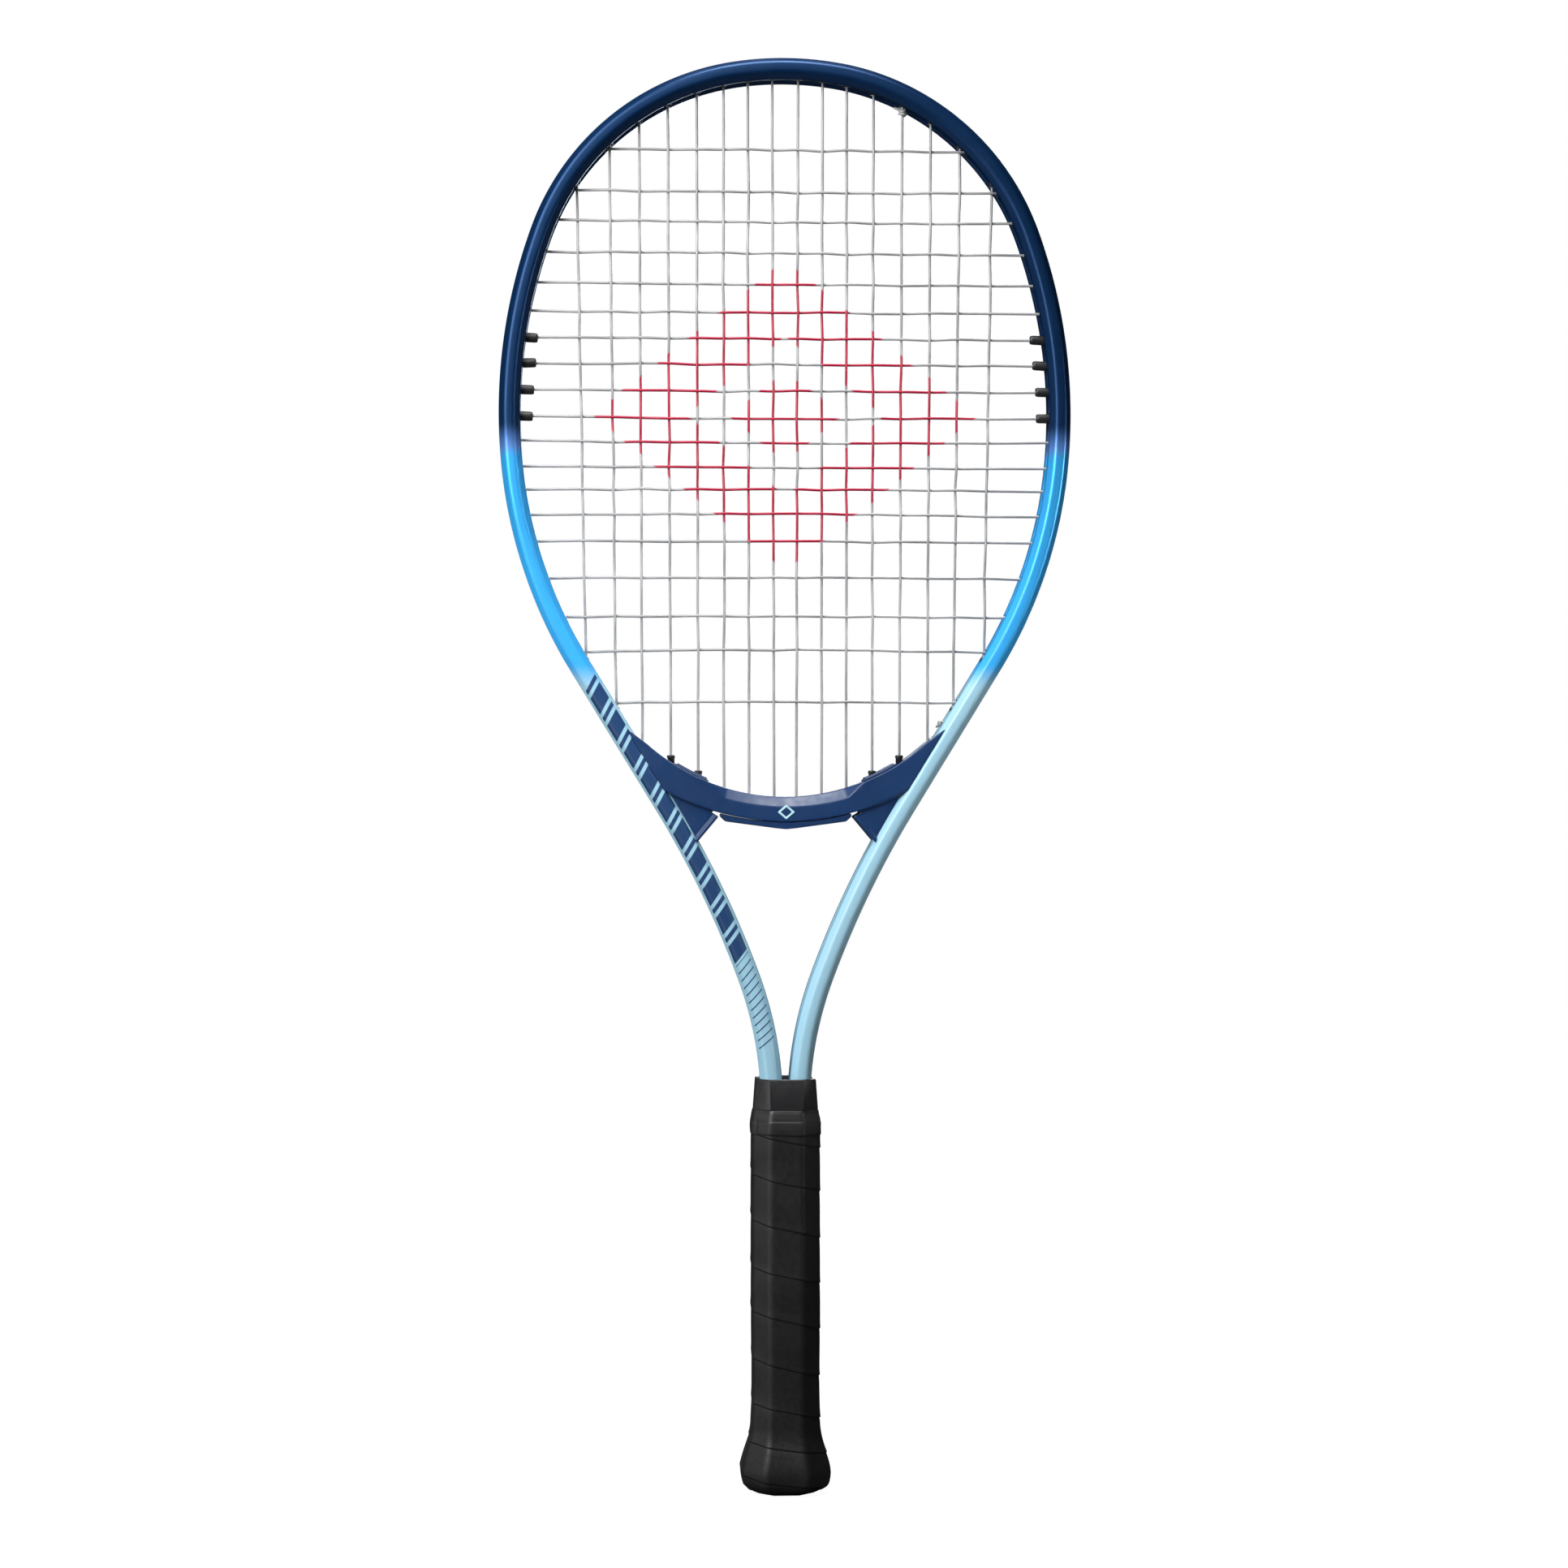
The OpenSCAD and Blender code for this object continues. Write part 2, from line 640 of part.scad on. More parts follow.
// The two places where the string is tied off
tie_off_drop = 315.6;
tie_off_z = top_z - tie_off_drop;
tie_off_x = arm_x(tie_off_z, wall_out);

module knot_turn(inside) {
    rotate_extrude() translate([inside + string_d / 2, 0]) circle(d = string_d, $fn = 24);
}

module tie_off_knots() {
    knot_main = 4;
    knot_z = head_z(MAIN_HEAD[knot_main], -half_w) - 1.6;
    color("#e6e6e4") {
        for (turn_number = [0, 1]) translate([main_x(knot_main, knot_z), 0,
            knot_z - turn_number * (string_d - fit)]) knot_turn(string_d / 2 + 0.3);
        translate([tie_off_x - 2.6, 0, tie_off_z]) rotate([0, 90, 0]) {
            knot_turn(string_d / 2 - fit);
            translate([0, 0, -1.4]) cylinder(d = string_d, h = 5.4);
        }
    }
}

// ---- Handle --------------------------------------------------------------------------------
// Eight corners from the width, the depth and the half widths of the flat faces
function facets(w, d, flat_x, flat_y) =
    [[w / 2, -flat_y], [w / 2, flat_y], [flat_x, d / 2], [-flat_x, d / 2], [-w / 2, flat_y],
        [-w / 2, -flat_y], [-flat_x, -d / 2], [flat_x, -d / 2]];

function octagon(w, d) = facets(w, d, w * 0.238, d * 0.23);

// Rectangle with its corners cut at 45 degrees
function cut_corners(w, d, cut) = facets(w, d, w / 2 - cut, d / 2 - cut);

// Octagonal slices of [height, outline] from a table of [height, width] with one depth ratio
function slices(table, ratio) = [for (s = table) [s[0], octagon(s[1], s[1] * ratio)]];

// Solid through slices of [height, outline of eight corners]
module loft(slices) {
    last = len(slices) - 1;
    polyhedron(
        points = [for (s = slices) each [for (p = s[1]) [p[0], p[1], s[0]]]],
        faces = concat(
            [[for (k = [0 : 7]) k]],
            [[for (k = [7 : -1 : 0]) last * 8 + k]],
            [for (j = [0 : last - 1], k = [0 : 7])
                [j * 8 + k, (j + 1) * 8 + k, (j + 1) * 8 + (k + 1) % 8, j * 8 + (k + 1) % 8]]));
}

// Room for the legs in the moulded core, cut as plain boxes
module leg_outlines(grow) {
    for (side = [-1, 1]) translate([side * leg_x, 0]) square([tube_width + 2 * grow,
        tube_depth - 2.6 + 2 * grow], center = true);
    for (side = [-1, 1]) translate([side * leg_x - side * 0.2, 0]) square([tube_width - 4 + 2 * grow,
        tube_depth + 2 * grow], center = true);
}

// Outline of the two legs, for the collar that fits closely round them
module leg_sections(grow) {
    w = half_w + grow;
    d = half_d + grow;
    for (side = [-1, 1]) translate([side * leg_x, 0]) polygon([[-w, d - 4], [2.7 - w, d], [w - 2.7, d],
        [w, d - 4], [w, 4 - d], [w - 2.7, -d], [2.7 - w, -d], [-w, 4 - d]]);
}

pallet_ratio = pallet_depth / pallet_width;
grip_ratio = grip_depth / grip_width;

module pallet_body() {
    translate([0, 0, pallet_foot_z]) linear_extrude(tape_top - pallet_foot_z)
        polygon(octagon(pallet_width, pallet_depth));
}

module leg_room() {
    translate([0, 0, leg_foot_z - 0.5]) linear_extrude(collar_top) leg_outlines(fit);
}

staple_z = 24;
staple_half = 4;
staple_d = 0.8;

module staple_holes(d) {
    for (x = [-staple_half, staple_half]) translate([x, 0, staple_z]) rotate([90, 0, 0])
        translate([0, 0, pallet_depth / 2 - 2.2]) cylinder(d = d, h = 4);
}

// Moulded half of the handle core; the front half faces -Y
module pallet_half() {
    difference() {
        pallet_body();
        leg_room();
        translate([-50, -fit / 2, 0]) cube([100, 50, 300]);
        staple_holes(staple_d + 0.2);
    }
}

module handle_pallet_front() {
    color("#3a3b3e") pallet_half();
}

module handle_pallet_back() {
    color("#3a3b3e") rotate(180) pallet_half();
}

// Collar with a sunk rim; its front is nearly as wide as the legs are apart
module handle_collar() {
    rim = 2.5;
    color("#232426") difference() {
        loft([[tape_top + fit, cut_corners(pallet_width + 1, pallet_depth + 1.2, 7.6)],
            [collar_top - 0.8, cut_corners(28.9, 27.8, 6.2)], [collar_top, cut_corners(28.4, 27.3, 5.9)]]);
        translate([0, 0, collar_top - rim]) linear_extrude(20) polygon(cut_corners(25.8, 24.9, 5.4));
        translate([0, 0, tape_top - 1]) linear_extrude(collar_top) leg_sections(fit);
    }
}

// Butt cap: flared cup pushed over the lower end of the pallets
BUTT = [[0, 26], [1.2, 31], [3, 36.2], [6, 39.2], [11, 40.2], [15, 38.9], [19, 36.6],
    [23, 34.2], [27, 31.9], [30, 31.2]];
butt_scale = (butt_width - 2 * grip_thickness) / 40.2;
badge_d = 19;
badge_thickness = 1;

module butt_solid(grow) {
    loft(slices([for (s = BUTT) [s[0], s[1] * butt_scale + 2 * grow]], pallet_ratio));
}

module butt_cap() {
    color("#1d1e20") difference() {
        butt_solid(0);
        translate([0, 0, pallet_foot_z - fit]) linear_extrude(40)
            polygon(octagon(pallet_width + 2 * fit, pallet_depth + 2 * fit));
        translate([0, 0, -1]) cylinder(d = badge_d + 2 * fit, h = 1 + badge_thickness + fit);
        for (turned = [0, 180]) rotate(turned) {
            staple_holes(staple_d + 0.2);
            translate([-staple_half - 0.8, -20, staple_z - 0.7]) cube([2 * staple_half + 1.6,
                20 - staple_face, 1.4]);
        }
    }
}

module butt_end_badge() {
    color("#2b2d30") cylinder(d = badge_d, h = badge_thickness, $fn = 48);
}

// Staples that hold the start of the grip on the butt cap
staple_face = pallet_depth / 2 + 0.7;

module grip_staples() {
    color("#aab0b6") for (turned = [0, 180]) rotate(turned) {
        translate([-staple_half - staple_d / 2, -staple_face - 0.7, staple_z - staple_d / 2])
            cube([2 * staple_half + staple_d, 0.7, staple_d]);
        for (x = [-staple_half, staple_half]) translate([x, -staple_face + 2.4, staple_z])
            rotate([90, 0, 0]) cylinder(d = staple_d, h = 2.6);
    }
}

GRIP_FLARE = [[3.1, 38.6], [5, 42], [7.5, 43.1], [11, 43.8], [15, 42.5], [19, 40.2],
    [23, 37.8], [27, 35.5]];

module grip_wrap() {
    flare = [for (s = GRIP_FLARE) [s[0], s[1] * butt_width / 43.8]];
    color("#2b2b2c") difference() {
        loft(slices(concat(flare, [[flare_top, grip_width + 0.2], [grip_top, grip_width]]), grip_ratio));
        butt_solid(fit);
        translate([0, 0, 20]) linear_extrude(200)
            polygon(octagon(pallet_width + 2 * fit, pallet_depth + 2 * fit));
    }
}

module finishing_tape() {
    ledge = grip_top + 6.4;
    color("#1b1b1c") difference() {
        loft(slices([[grip_top + fit, grip_width + 0.2], [ledge, grip_width + 0.2],
            [ledge + 0.4, grip_width - 0.2], [tape_top - 4.4, grip_width - 0.4],
            [tape_top, pallet_width + 1.6]], grip_ratio));
        translate([0, 0, 20]) linear_extrude(200)
            polygon(octagon(pallet_width + 2 * fit, pallet_depth + 2 * fit));
    }
}

frame_tube();
throat_bridge();
bridge_lower_strip();
bridge_pad_left();
bridge_pad_right();
bridge_grommets();
bridge_rivets();
head_grommet_strip();
side_grommet_strip_left();
side_grommet_strip_right();
arm_grommets();
shock_sleeves_left();
shock_sleeves_right();
main_strings();
cross_strings();
tie_off_knots();
handle_collar();
handle_pallet_front();
handle_pallet_back();
butt_cap();
butt_end_badge();
grip_staples();
grip_wrap();
finishing_tape();
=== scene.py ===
import math

import bmesh
import bpy
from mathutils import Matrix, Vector
import numpy as np

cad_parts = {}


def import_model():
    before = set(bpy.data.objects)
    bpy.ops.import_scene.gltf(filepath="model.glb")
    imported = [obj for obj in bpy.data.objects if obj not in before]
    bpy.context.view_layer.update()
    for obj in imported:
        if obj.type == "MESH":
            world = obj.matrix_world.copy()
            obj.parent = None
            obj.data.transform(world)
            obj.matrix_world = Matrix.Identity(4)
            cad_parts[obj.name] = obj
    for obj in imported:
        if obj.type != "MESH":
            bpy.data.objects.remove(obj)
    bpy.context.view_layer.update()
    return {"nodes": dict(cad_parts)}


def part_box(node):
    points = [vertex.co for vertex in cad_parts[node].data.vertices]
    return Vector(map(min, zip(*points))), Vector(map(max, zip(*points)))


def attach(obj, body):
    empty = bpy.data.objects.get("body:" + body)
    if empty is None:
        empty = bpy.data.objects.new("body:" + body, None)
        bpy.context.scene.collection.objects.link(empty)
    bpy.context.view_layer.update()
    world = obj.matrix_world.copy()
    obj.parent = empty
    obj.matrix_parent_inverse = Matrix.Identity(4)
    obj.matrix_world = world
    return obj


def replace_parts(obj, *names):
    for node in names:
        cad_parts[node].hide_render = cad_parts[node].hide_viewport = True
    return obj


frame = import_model()

# The script's own unit is the millimetre; meshes are scaled to metres when they are made.
MM = 0.001
HANDS = ((-1, "left"), (1, "right"))
rng = np.random.default_rng(11)


# ---- Mesh helpers --------------------------------------------------------------------------
def new_object(name, points, faces, material):
    """A mesh piece from points in millimetres."""
    mesh = bpy.data.meshes.new(name)
    mesh.from_pydata([tuple(p) for p in np.asarray(points) * MM], [], [tuple(f) for f in faces])
    mesh.materials.append(material)
    mesh.polygons.foreach_set("use_smooth", [True] * len(mesh.polygons))
    mesh.update()
    obj = bpy.data.objects.new(name, mesh)
    bpy.context.scene.collection.objects.link(obj)
    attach(obj, "root")
    return obj


def clean(obj):
    """Merges points that fell together, drops flat slivers and turns every face outwards."""
    bm = bmesh.new()
    bm.from_mesh(obj.data)
    bmesh.ops.remove_doubles(bm, verts=bm.verts, dist=0.004 * MM)
    bmesh.ops.dissolve_degenerate(bm, edges=bm.edges, dist=0.002 * MM)
    bmesh.ops.recalc_face_normals(bm, faces=bm.faces)
    bm.to_mesh(obj.data)
    bm.free()


def grid_faces(rows, columns, wrap_rows=False):
    """Quads between rows of points; each row is a closed ring."""
    faces = []
    for r in range(rows if wrap_rows else rows - 1):
        below = (r + 1) % rows
        for c in range(columns):
            after = (c + 1) % columns
            faces.append((r * columns + c, r * columns + after,
                          below * columns + after, below * columns + c))
    return faces


def closed_sweep(rings):
    """Points and faces of a solid swept through rings, with both ends closed by fans."""
    rings = np.asarray(rings, float)
    rows, columns = rings.shape[:2]
    points = rings.reshape(-1, 3)
    first, last = len(points), len(points) + 1
    points = np.vstack([points, rings[0].mean(axis=0), rings[-1].mean(axis=0)])
    faces = grid_faces(rows, columns)
    base = (rows - 1) * columns
    for c in range(columns):
        after = (c + 1) % columns
        faces.append((first, after, c))
        faces.append((last, base + c, base + after))
    return points, faces


def rounded_outline(corners, radii, segments=4):
    """Closed outline with each corner rounded by its own radius."""
    corners = [np.array(c, float) for c in corners]
    out = []
    count = len(corners)
    for i, corner in enumerate(corners):
        to_before = corners[i - 1] - corner
        to_after = corners[(i + 1) % count] - corner
        len_before, len_after = np.linalg.norm(to_before), np.linalg.norm(to_after)
        to_before, to_after = to_before / len_before, to_after / len_after
        half = math.acos(np.clip(to_before @ to_after, -1, 1)) / 2
        reach = min(radii[i] / math.tan(half), 0.46 * len_before, 0.46 * len_after)
        a, b = corner + to_before * reach, corner + to_after * reach
        for t in np.linspace(0, 1, segments + 1):
            out.append((1 - t) ** 2 * a + 2 * t * (1 - t) * corner + t ** 2 * b)
    return np.array(out)


def smoothstep(low, high, x):
    """Rises smoothly from 0 at low to 1 at high."""
    t = np.clip((x - low) / (high - low), 0, 1)
    return t * t * (3 - 2 * t)


def lathe(name, profile, place, material, sides=32):
    """A turned piece: profile is a closed list of (radius, height); place maps local to frame."""
    profile = np.array(profile, float)
    turns = np.linspace(0, 2 * math.pi, sides, endpoint=False)
    points = [place @ np.array([r * math.cos(a), r * math.sin(a), h, 1])
              for a in turns for r, h in profile]
    faces = grid_faces(sides, len(profile), wrap_rows=True)
    return new_object(name, np.array(points)[:, :3], [f[::-1] for f in faces], material)


def facing(origin, direction):
    """4x4 matrix that puts +Z along direction, at origin."""
    z = np.array(direction, float)
    z /= np.linalg.norm(z)
    x = np.cross([0, 1, 0], z)
    x /= np.linalg.norm(x)
    m = np.eye(4)
    m[:3, 0], m[:3, 1], m[:3, 2], m[:3, 3] = x, np.cross(z, x), z, origin
    return m


# ---- Shader helpers ------------------------------------------------------------------------
class Shader:
    """A principled material with short calls for its nodes."""

    def __init__(self, name):
        self.material = bpy.data.materials.new(name)
        self.material.use_nodes = True
        self.nodes = self.material.node_tree.nodes
        self.links = self.material.node_tree.links
        self.base = self.nodes["Principled BSDF"]

    def put(self, socket, value):
        if isinstance(value, bpy.types.NodeSocket):
            self.links.new(value, socket)
        else:
            socket.default_value = value

    def set(self, **values):
        for key, value in values.items():
            self.put(self.base.inputs[key.replace("_", " ")], value)

    def place(self):
        return self.nodes.new("ShaderNodeTexCoord").outputs["Object"]

    def axes(self):
        node = self.nodes.new("ShaderNodeSeparateXYZ")
        self.put(node.inputs[0], self.place())
        return node.outputs

    def attribute(self, name):
        node = self.nodes.new("ShaderNodeAttribute")
        node.attribute_name = name
        return node.outputs["Fac"]

    def math(self, operation, *values):
        node = self.nodes.new("ShaderNodeMath")
        node.operation = operation
        for socket, value in zip(node.inputs, values):
            self.put(socket, value)
        return node.outputs[0]

    def ramp(self, value, low, high, to_low=0.0, to_high=1.0):
        node = self.nodes.new("ShaderNodeMapRange")
        node.interpolation_type = "SMOOTHSTEP"
        for key, v in (("Value", value), ("From Min", low), ("From Max", high),
                       ("To Min", to_low), ("To Max", to_high)):
            self.put(node.inputs[key], v)
        return node.outputs[0]

    def band(self, value, low, high, soft=0.014):
        """1 between low and high, with soft edges."""
        return self.math("MULTIPLY", self.ramp(value, low, low + soft),
                         self.ramp(value, high, high - soft))

    def mix(self, factor, a, b):
        node = self.nodes.new("ShaderNodeMix")
        node.data_type = "RGBA"
        for key, v in ((0, factor), (6, a), (7, b)):
            self.put(node.inputs[key], v)
        return node.outputs[2]

    def noise(self, scale, detail=3.0, stretch=(1, 1, 1), roughness=0.5):
        mapping = self.nodes.new("ShaderNodeMapping")
        mapping.inputs["Scale"].default_value = stretch
        self.put(mapping.inputs["Vector"], self.place())
        node = self.nodes.new("ShaderNodeTexNoise")
        self.put(node.inputs["Vector"], mapping.outputs[0])
        node.inputs["Scale"].default_value = scale
        node.inputs["Detail"].default_value = detail
        node.inputs["Roughness"].default_value = roughness
        return node.outputs[0]

    def cells(self, scale):
        node = self.nodes.new("ShaderNodeTexVoronoi")
        self.put(node.inputs["Vector"], self.place())
        node.inputs["Scale"].default_value = scale
        return node.outputs["Distance"]

    def bump(self, height, strength, distance, normal=None):
        node = self.nodes.new("ShaderNodeBump")
        node.inputs["Strength"].default_value = strength
        node.inputs["Distance"].default_value = distance * MM
        self.put(node.inputs["Height"], height)
        if normal is not None:
            self.put(node.inputs["Normal"], normal)
        return node.outputs[0]


WHITE = (1, 1, 1, 1)
BLACK = (0, 0, 0, 1)


def linear(code):
    """Linear colour from a hex code."""
    parts = [int(code[i:i + 2], 16) / 255 for i in (0, 2, 4)]
    return tuple(c / 12.92 if c < 0.04045 else ((c + 0.055) / 1.055) ** 2.4 for c in parts) + (1,)


# ---- Layout of the racket, in millimetres --------------------------------------------------
# Half the width and depth of the tube, and the height of its centreline at the top of the head
HALF_WIDTH = 5.2
HALF_DEPTH = 10.5
top_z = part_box("frame_tube")[1].z / MM - HALF_WIDTH
# Bends of the right half, from the top of the head down: (radius, degrees) or (0, length)
BENDS = [(152.5, 10), (118.8, 60), (255.5, 26), (225.65, 25.5), (0, 79.3), (-469.7, 11.37),
         (-179.9, 20.13), (0, 40)]
# Floors of the groove round the outside and of the channel round the inside, both measured
# outwards from the centreline
GROOVE = HALF_WIDTH - 2.4
WALL = 1.4 - HALF_WIDTH


def unit(heading):
    """Direction along the centreline."""
    return np.array([math.cos(heading), -math.sin(heading)])


def inward(heading):
    """Direction square to the centreline, into the head."""
    return np.array([-math.sin(heading), -math.cos(heading)])


def trace_centreline(step):
    """Points and headings of the right half's centreline, from the top of the head down."""
    points, headings = [], []
    at, heading = np.array([0.0, top_z]), 0.0
    for radius, amount in BENDS:
        length = amount if radius == 0 else abs(radius) * math.radians(amount)
        count = max(2, int(length / step))
        turn = 0 if radius == 0 else math.copysign(math.radians(amount), radius)
        centre = at + radius * inward(heading)
        for t in np.arange(count) / count:
            if radius == 0:
                points.append(at + t * length * unit(heading))
            else:
                points.append(centre - radius * inward(heading + t * turn))
            headings.append(heading + t * turn)
        if radius == 0:
            at = at + length * unit(heading)
        else:
            at = centre - radius * inward(heading + turn)
        heading += turn
    points.append(at)
    headings.append(heading)
    return np.array(points), np.array(headings)


line_points, line_headings = trace_centreline(2.4)
line_run = np.concatenate([[0], np.cumsum(np.linalg.norm(np.diff(line_points, axis=0), axis=1))])


def beside(out):
    """The right half's curve at a distance out from the centreline."""
    outward = -np.array([inward(h) for h in line_headings])
    return line_points + out * outward


def head_z(x, out):
    """Height of the curve over x, along the top of the head."""
    curve = beside(out)
    top = curve[:int(len(curve) * 0.45)]
    return float(np.interp(x, top[:, 0], top[:, 1]))


def side_x(z, out):
    """Distance of the curve from the middle, at height z."""
    curve = beside(out)[::-1]
    return float(np.interp(z, curve[:, 1], curve[:, 0]))


def foot_z(x, out):
    """Height of the curve over x, along the lower part of the head and the arm."""
    curve = beside(out)
    widest = int(np.argmax(curve[:, 0]))
    low = curve[widest:][::-1]
    return float(np.interp(x, low[:, 0], low[:, 1]))


# ---- Materials -----------------------------------------------------------------------------
NAVY = linear("08294f")
BRIGHT = linear("38a6ea")
BLEND = linear("5a88d0")
PALE = linear("9bc7db")
DECAL_NAVY = linear("1f3f6b")
CRIMSON = linear("a60c36")
BLUE_SHINE = linear("b4d6ff")

# Heights of the two colour changes on the frame, and the stretch of the left arm with bars
NAVY_FROM, NAVY_FULL = 501, 516
PALE_BELOW, BRIGHT_ABOVE = 387, 400
BARS_TOP, BARS_SOLID, BARS_END = -377, -529.5, -575
BAR_PITCH = 15.25
BARS_HALF_WIDTH = 4.0
# Middle height and half size of the red diamond on the strings
DIAMOND_Z = 520.0
DIAMOND_HALF = (94.0, 76.0)


def bars_mask(s):
    """Plain slanted bars on the front of the left arm, wide and thin by turns, then fine lines."""
    run, across, deep = s.attribute("run"), s.attribute("across"), s.attribute("deep")
    slanted = s.math("ADD", run, s.math("MULTIPLY", across, 0.6))
    cell = s.math("FRACT", s.math("DIVIDE", s.math("SUBTRACT", slanted, BARS_END), BAR_PITCH))
    bars = s.math("ADD", s.band(cell, 0.06, 0.66), s.band(cell, 0.78, 0.94))
    lines = s.math("GREATER_THAN", s.math("FRACT", s.math("MULTIPLY", cell, 4)), 0.82)
    ink = s.math("ADD", s.math("MULTIPLY", bars, s.math("GREATER_THAN", slanted, BARS_SOLID)),
                 s.math("MULTIPLY", lines, s.math("LESS_THAN", slanted, BARS_SOLID)))
    off_middle = s.math("ABSOLUTE", s.math("SUBTRACT", across, 0.2))
    limits = (s.ramp(off_middle, BARS_HALF_WIDTH + 0.05, BARS_HALF_WIDTH - 0.05),
              s.math("GREATER_THAN", deep, 6.6),
              s.math("GREATER_THAN", slanted, BARS_END),
              s.math("LESS_THAN", slanted, BARS_TOP))
    for limit in limits:
        ink = s.math("MULTIPLY", ink, limit)
    return ink


def painted_channel_shade(s):
    """Where painted shade darkens the inner channel of the tube."""
    deep = s.math("ABSOLUTE", s.attribute("deep"))
    return s.math("MULTIPLY", s.ramp(s.attribute("across"), -4.3, -5.1),
                  s.ramp(deep, 8.0, 6.0, 0.0, 0.8))


def frame_paint():
    """Satin paint, navy over bright blue over pale blue, with painted shade darkening the inner
    channel.
    """
    s = Shader("frame_paint")
    drift = s.math("MULTIPLY", s.math("SUBTRACT", s.noise(9, 1), 0.5), 4.0)
    z = s.math("ADD", s.math("DIVIDE", s.axes()[2], MM), drift)
    colour = s.mix(s.ramp(z, PALE_BELOW, BRIGHT_ABOVE), PALE, BRIGHT)
    colour = s.mix(s.ramp(z, NAVY_FROM - 3, NAVY_FROM + 4), colour, BLEND)
    colour = s.mix(s.ramp(z, NAVY_FROM, NAVY_FULL), colour, NAVY)
    colour = s.mix(bars_mask(s), colour, DECAL_NAVY)
    # Painted shade: in the inner channel the paint is mixed towards black, down to a quarter of its
    # colour
    colour = s.mix(painted_channel_shade(s), colour, s.mix(0.75, colour, BLACK))
    s.set(Base_Color=colour,
          Roughness=s.ramp(s.noise(60, 4), 0.3, 0.7, 0.33, 0.40),
          Metallic=s.ramp(z, PALE_BELOW, NAVY_FULL, 0.0, 0.45),
          Specular_Tint=s.mix(s.ramp(z, PALE_BELOW, BRIGHT_ABOVE), WHITE, BLUE_SHINE),
          Coat_Weight=s.ramp(z, NAVY_FROM, NAVY_FULL, 0.12, 0.03),
          Coat_Roughness=0.2,
          Normal=s.bump(s.noise(900, 2), 0.06, 0.05))
    return s.material


def moulded(name, code, rough, grain=0.15):
    """Moulded plastic with faint clouding and a fine grain."""
    s = Shader(name)
    colour = linear(code)
    shade = tuple(c * 0.85 for c in colour[:3]) + (1,)
    s.set(Base_Color=s.mix(s.ramp(s.noise(35, 4), 0.35, 0.7), colour, shade),
          Roughness=s.ramp(s.noise(220, 3), 0.3, 0.7, rough - 0.05, rough + 0.06),
          Normal=s.bump(s.noise(2600, 2), grain, 0.04))
    return s.material


def string_material():
    """Clear string, printed crimson inside a plain shape: a hollow diamond round a small one."""
    s = Shader("string_polymer")
    x, _, z = s.axes()
    off_middle = s.math("ABSOLUTE", s.math("DIVIDE", x, MM))
    above_middle = s.math("ABSOLUTE", s.math("SUBTRACT", s.math("DIVIDE", z, MM), DIAMOND_Z))
    across = s.math("DIVIDE", off_middle, DIAMOND_HALF[0])
    up = s.math("DIVIDE", above_middle, DIAMOND_HALF[1])
    ragged = s.math("MULTIPLY", s.math("SUBTRACT", s.noise(260, 2), 0.5), 0.05)
    reach = s.math("ADD", s.math("ADD", across, up), ragged)
    ring = s.math("MULTIPLY", s.ramp(reach, 1.0, 0.985), s.ramp(reach, 0.5, 0.515))
    mask = s.math("MAXIMUM", ring, s.ramp(reach, 0.3, 0.285))
    clear = s.mix(s.ramp(s.noise(30, 3), 0.35, 0.65), linear("8f9092"), linear("a9a9ab"))
    s.set(Base_Color=s.mix(mask, clear, CRIMSON),
          Roughness=s.ramp(s.noise(400, 2), 0.3, 0.7, 0.32, 0.42),
          Coat_Weight=0.2,
          Coat_Roughness=0.2,
          Normal=s.bump(s.noise(1500, 2), 0.1, 0.03))
    return s.material


def grip_material():
    """Synthetic leather: small cells and creases over broad soft dents."""
    s = Shader("grip_leather")
    creases = s.noise(420, 5, roughness=0.65)
    broad = s.noise(45, 3)
    height = s.math("ADD", s.math("MULTIPLY", s.cells(1500), 0.5), s.math("MULTIPLY", creases, 0.6))
    normal = s.bump(broad, 0.25, 0.6, s.bump(height, 0.3, 0.1))
    colour = s.mix(s.ramp(broad, 0.35, 0.7), linear("171718"), linear("1f1f20"))
    s.set(Base_Color=colour,
          Roughness=s.ramp(creases, 0.3, 0.7, 0.42, 0.56),
          Normal=normal,
          Specular_IOR_Level=0.4)
    return s.material


def tape_material():
    """Vinyl tape with faint ridges along its length."""
    s = Shader("black_tape")
    ridges = s.noise(60, 3, stretch=(1, 1, 9))
    s.set(Base_Color=s.mix(ridges, linear("1b1b1c"), linear("242425")),
          Roughness=s.ramp(ridges, 0.3, 0.7, 0.42, 0.54),
          Normal=s.bump(ridges, 0.2, 0.2))
    return s.material


def metal(name, code, rough):
    """Bare metal with fine brushing."""
    s = Shader(name)
    brushed = s.noise(300, 3, stretch=(1, 1, 14))
    s.set(Base_Color=linear(code),
          Metallic=1.0,
          Roughness=s.ramp(brushed, 0.3, 0.7, rough - 0.06, rough + 0.1),
          Normal=s.bump(brushed, 0.1, 0.03))
    return s.material


PAINT = frame_paint()
BRIDGE = moulded("bridge_plastic", "163662", 0.36)
MARK = moulded("mark_plastic", "b4dcea", 0.4)
GROMMET = moulded("grommet_plastic", "17181b", 0.42)
RUBBER = moulded("sleeve_rubber", "232426", 0.42, 0.2)
HARD_BLACK = moulded("handle_plastic", "2a2a2c", 0.36)
CORE = moulded("core_plastic", "3a3b3e", 0.5)
BADGE = moulded("badge_plastic", "2e3033", 0.5)
STRING = string_material()
GRIP = grip_material()
TAPE = tape_material()
ALLOY = metal("rivet_metal", "b4b8bd", 0.34)
STEEL = metal("staple_wire", "a4a8ad", 0.3)


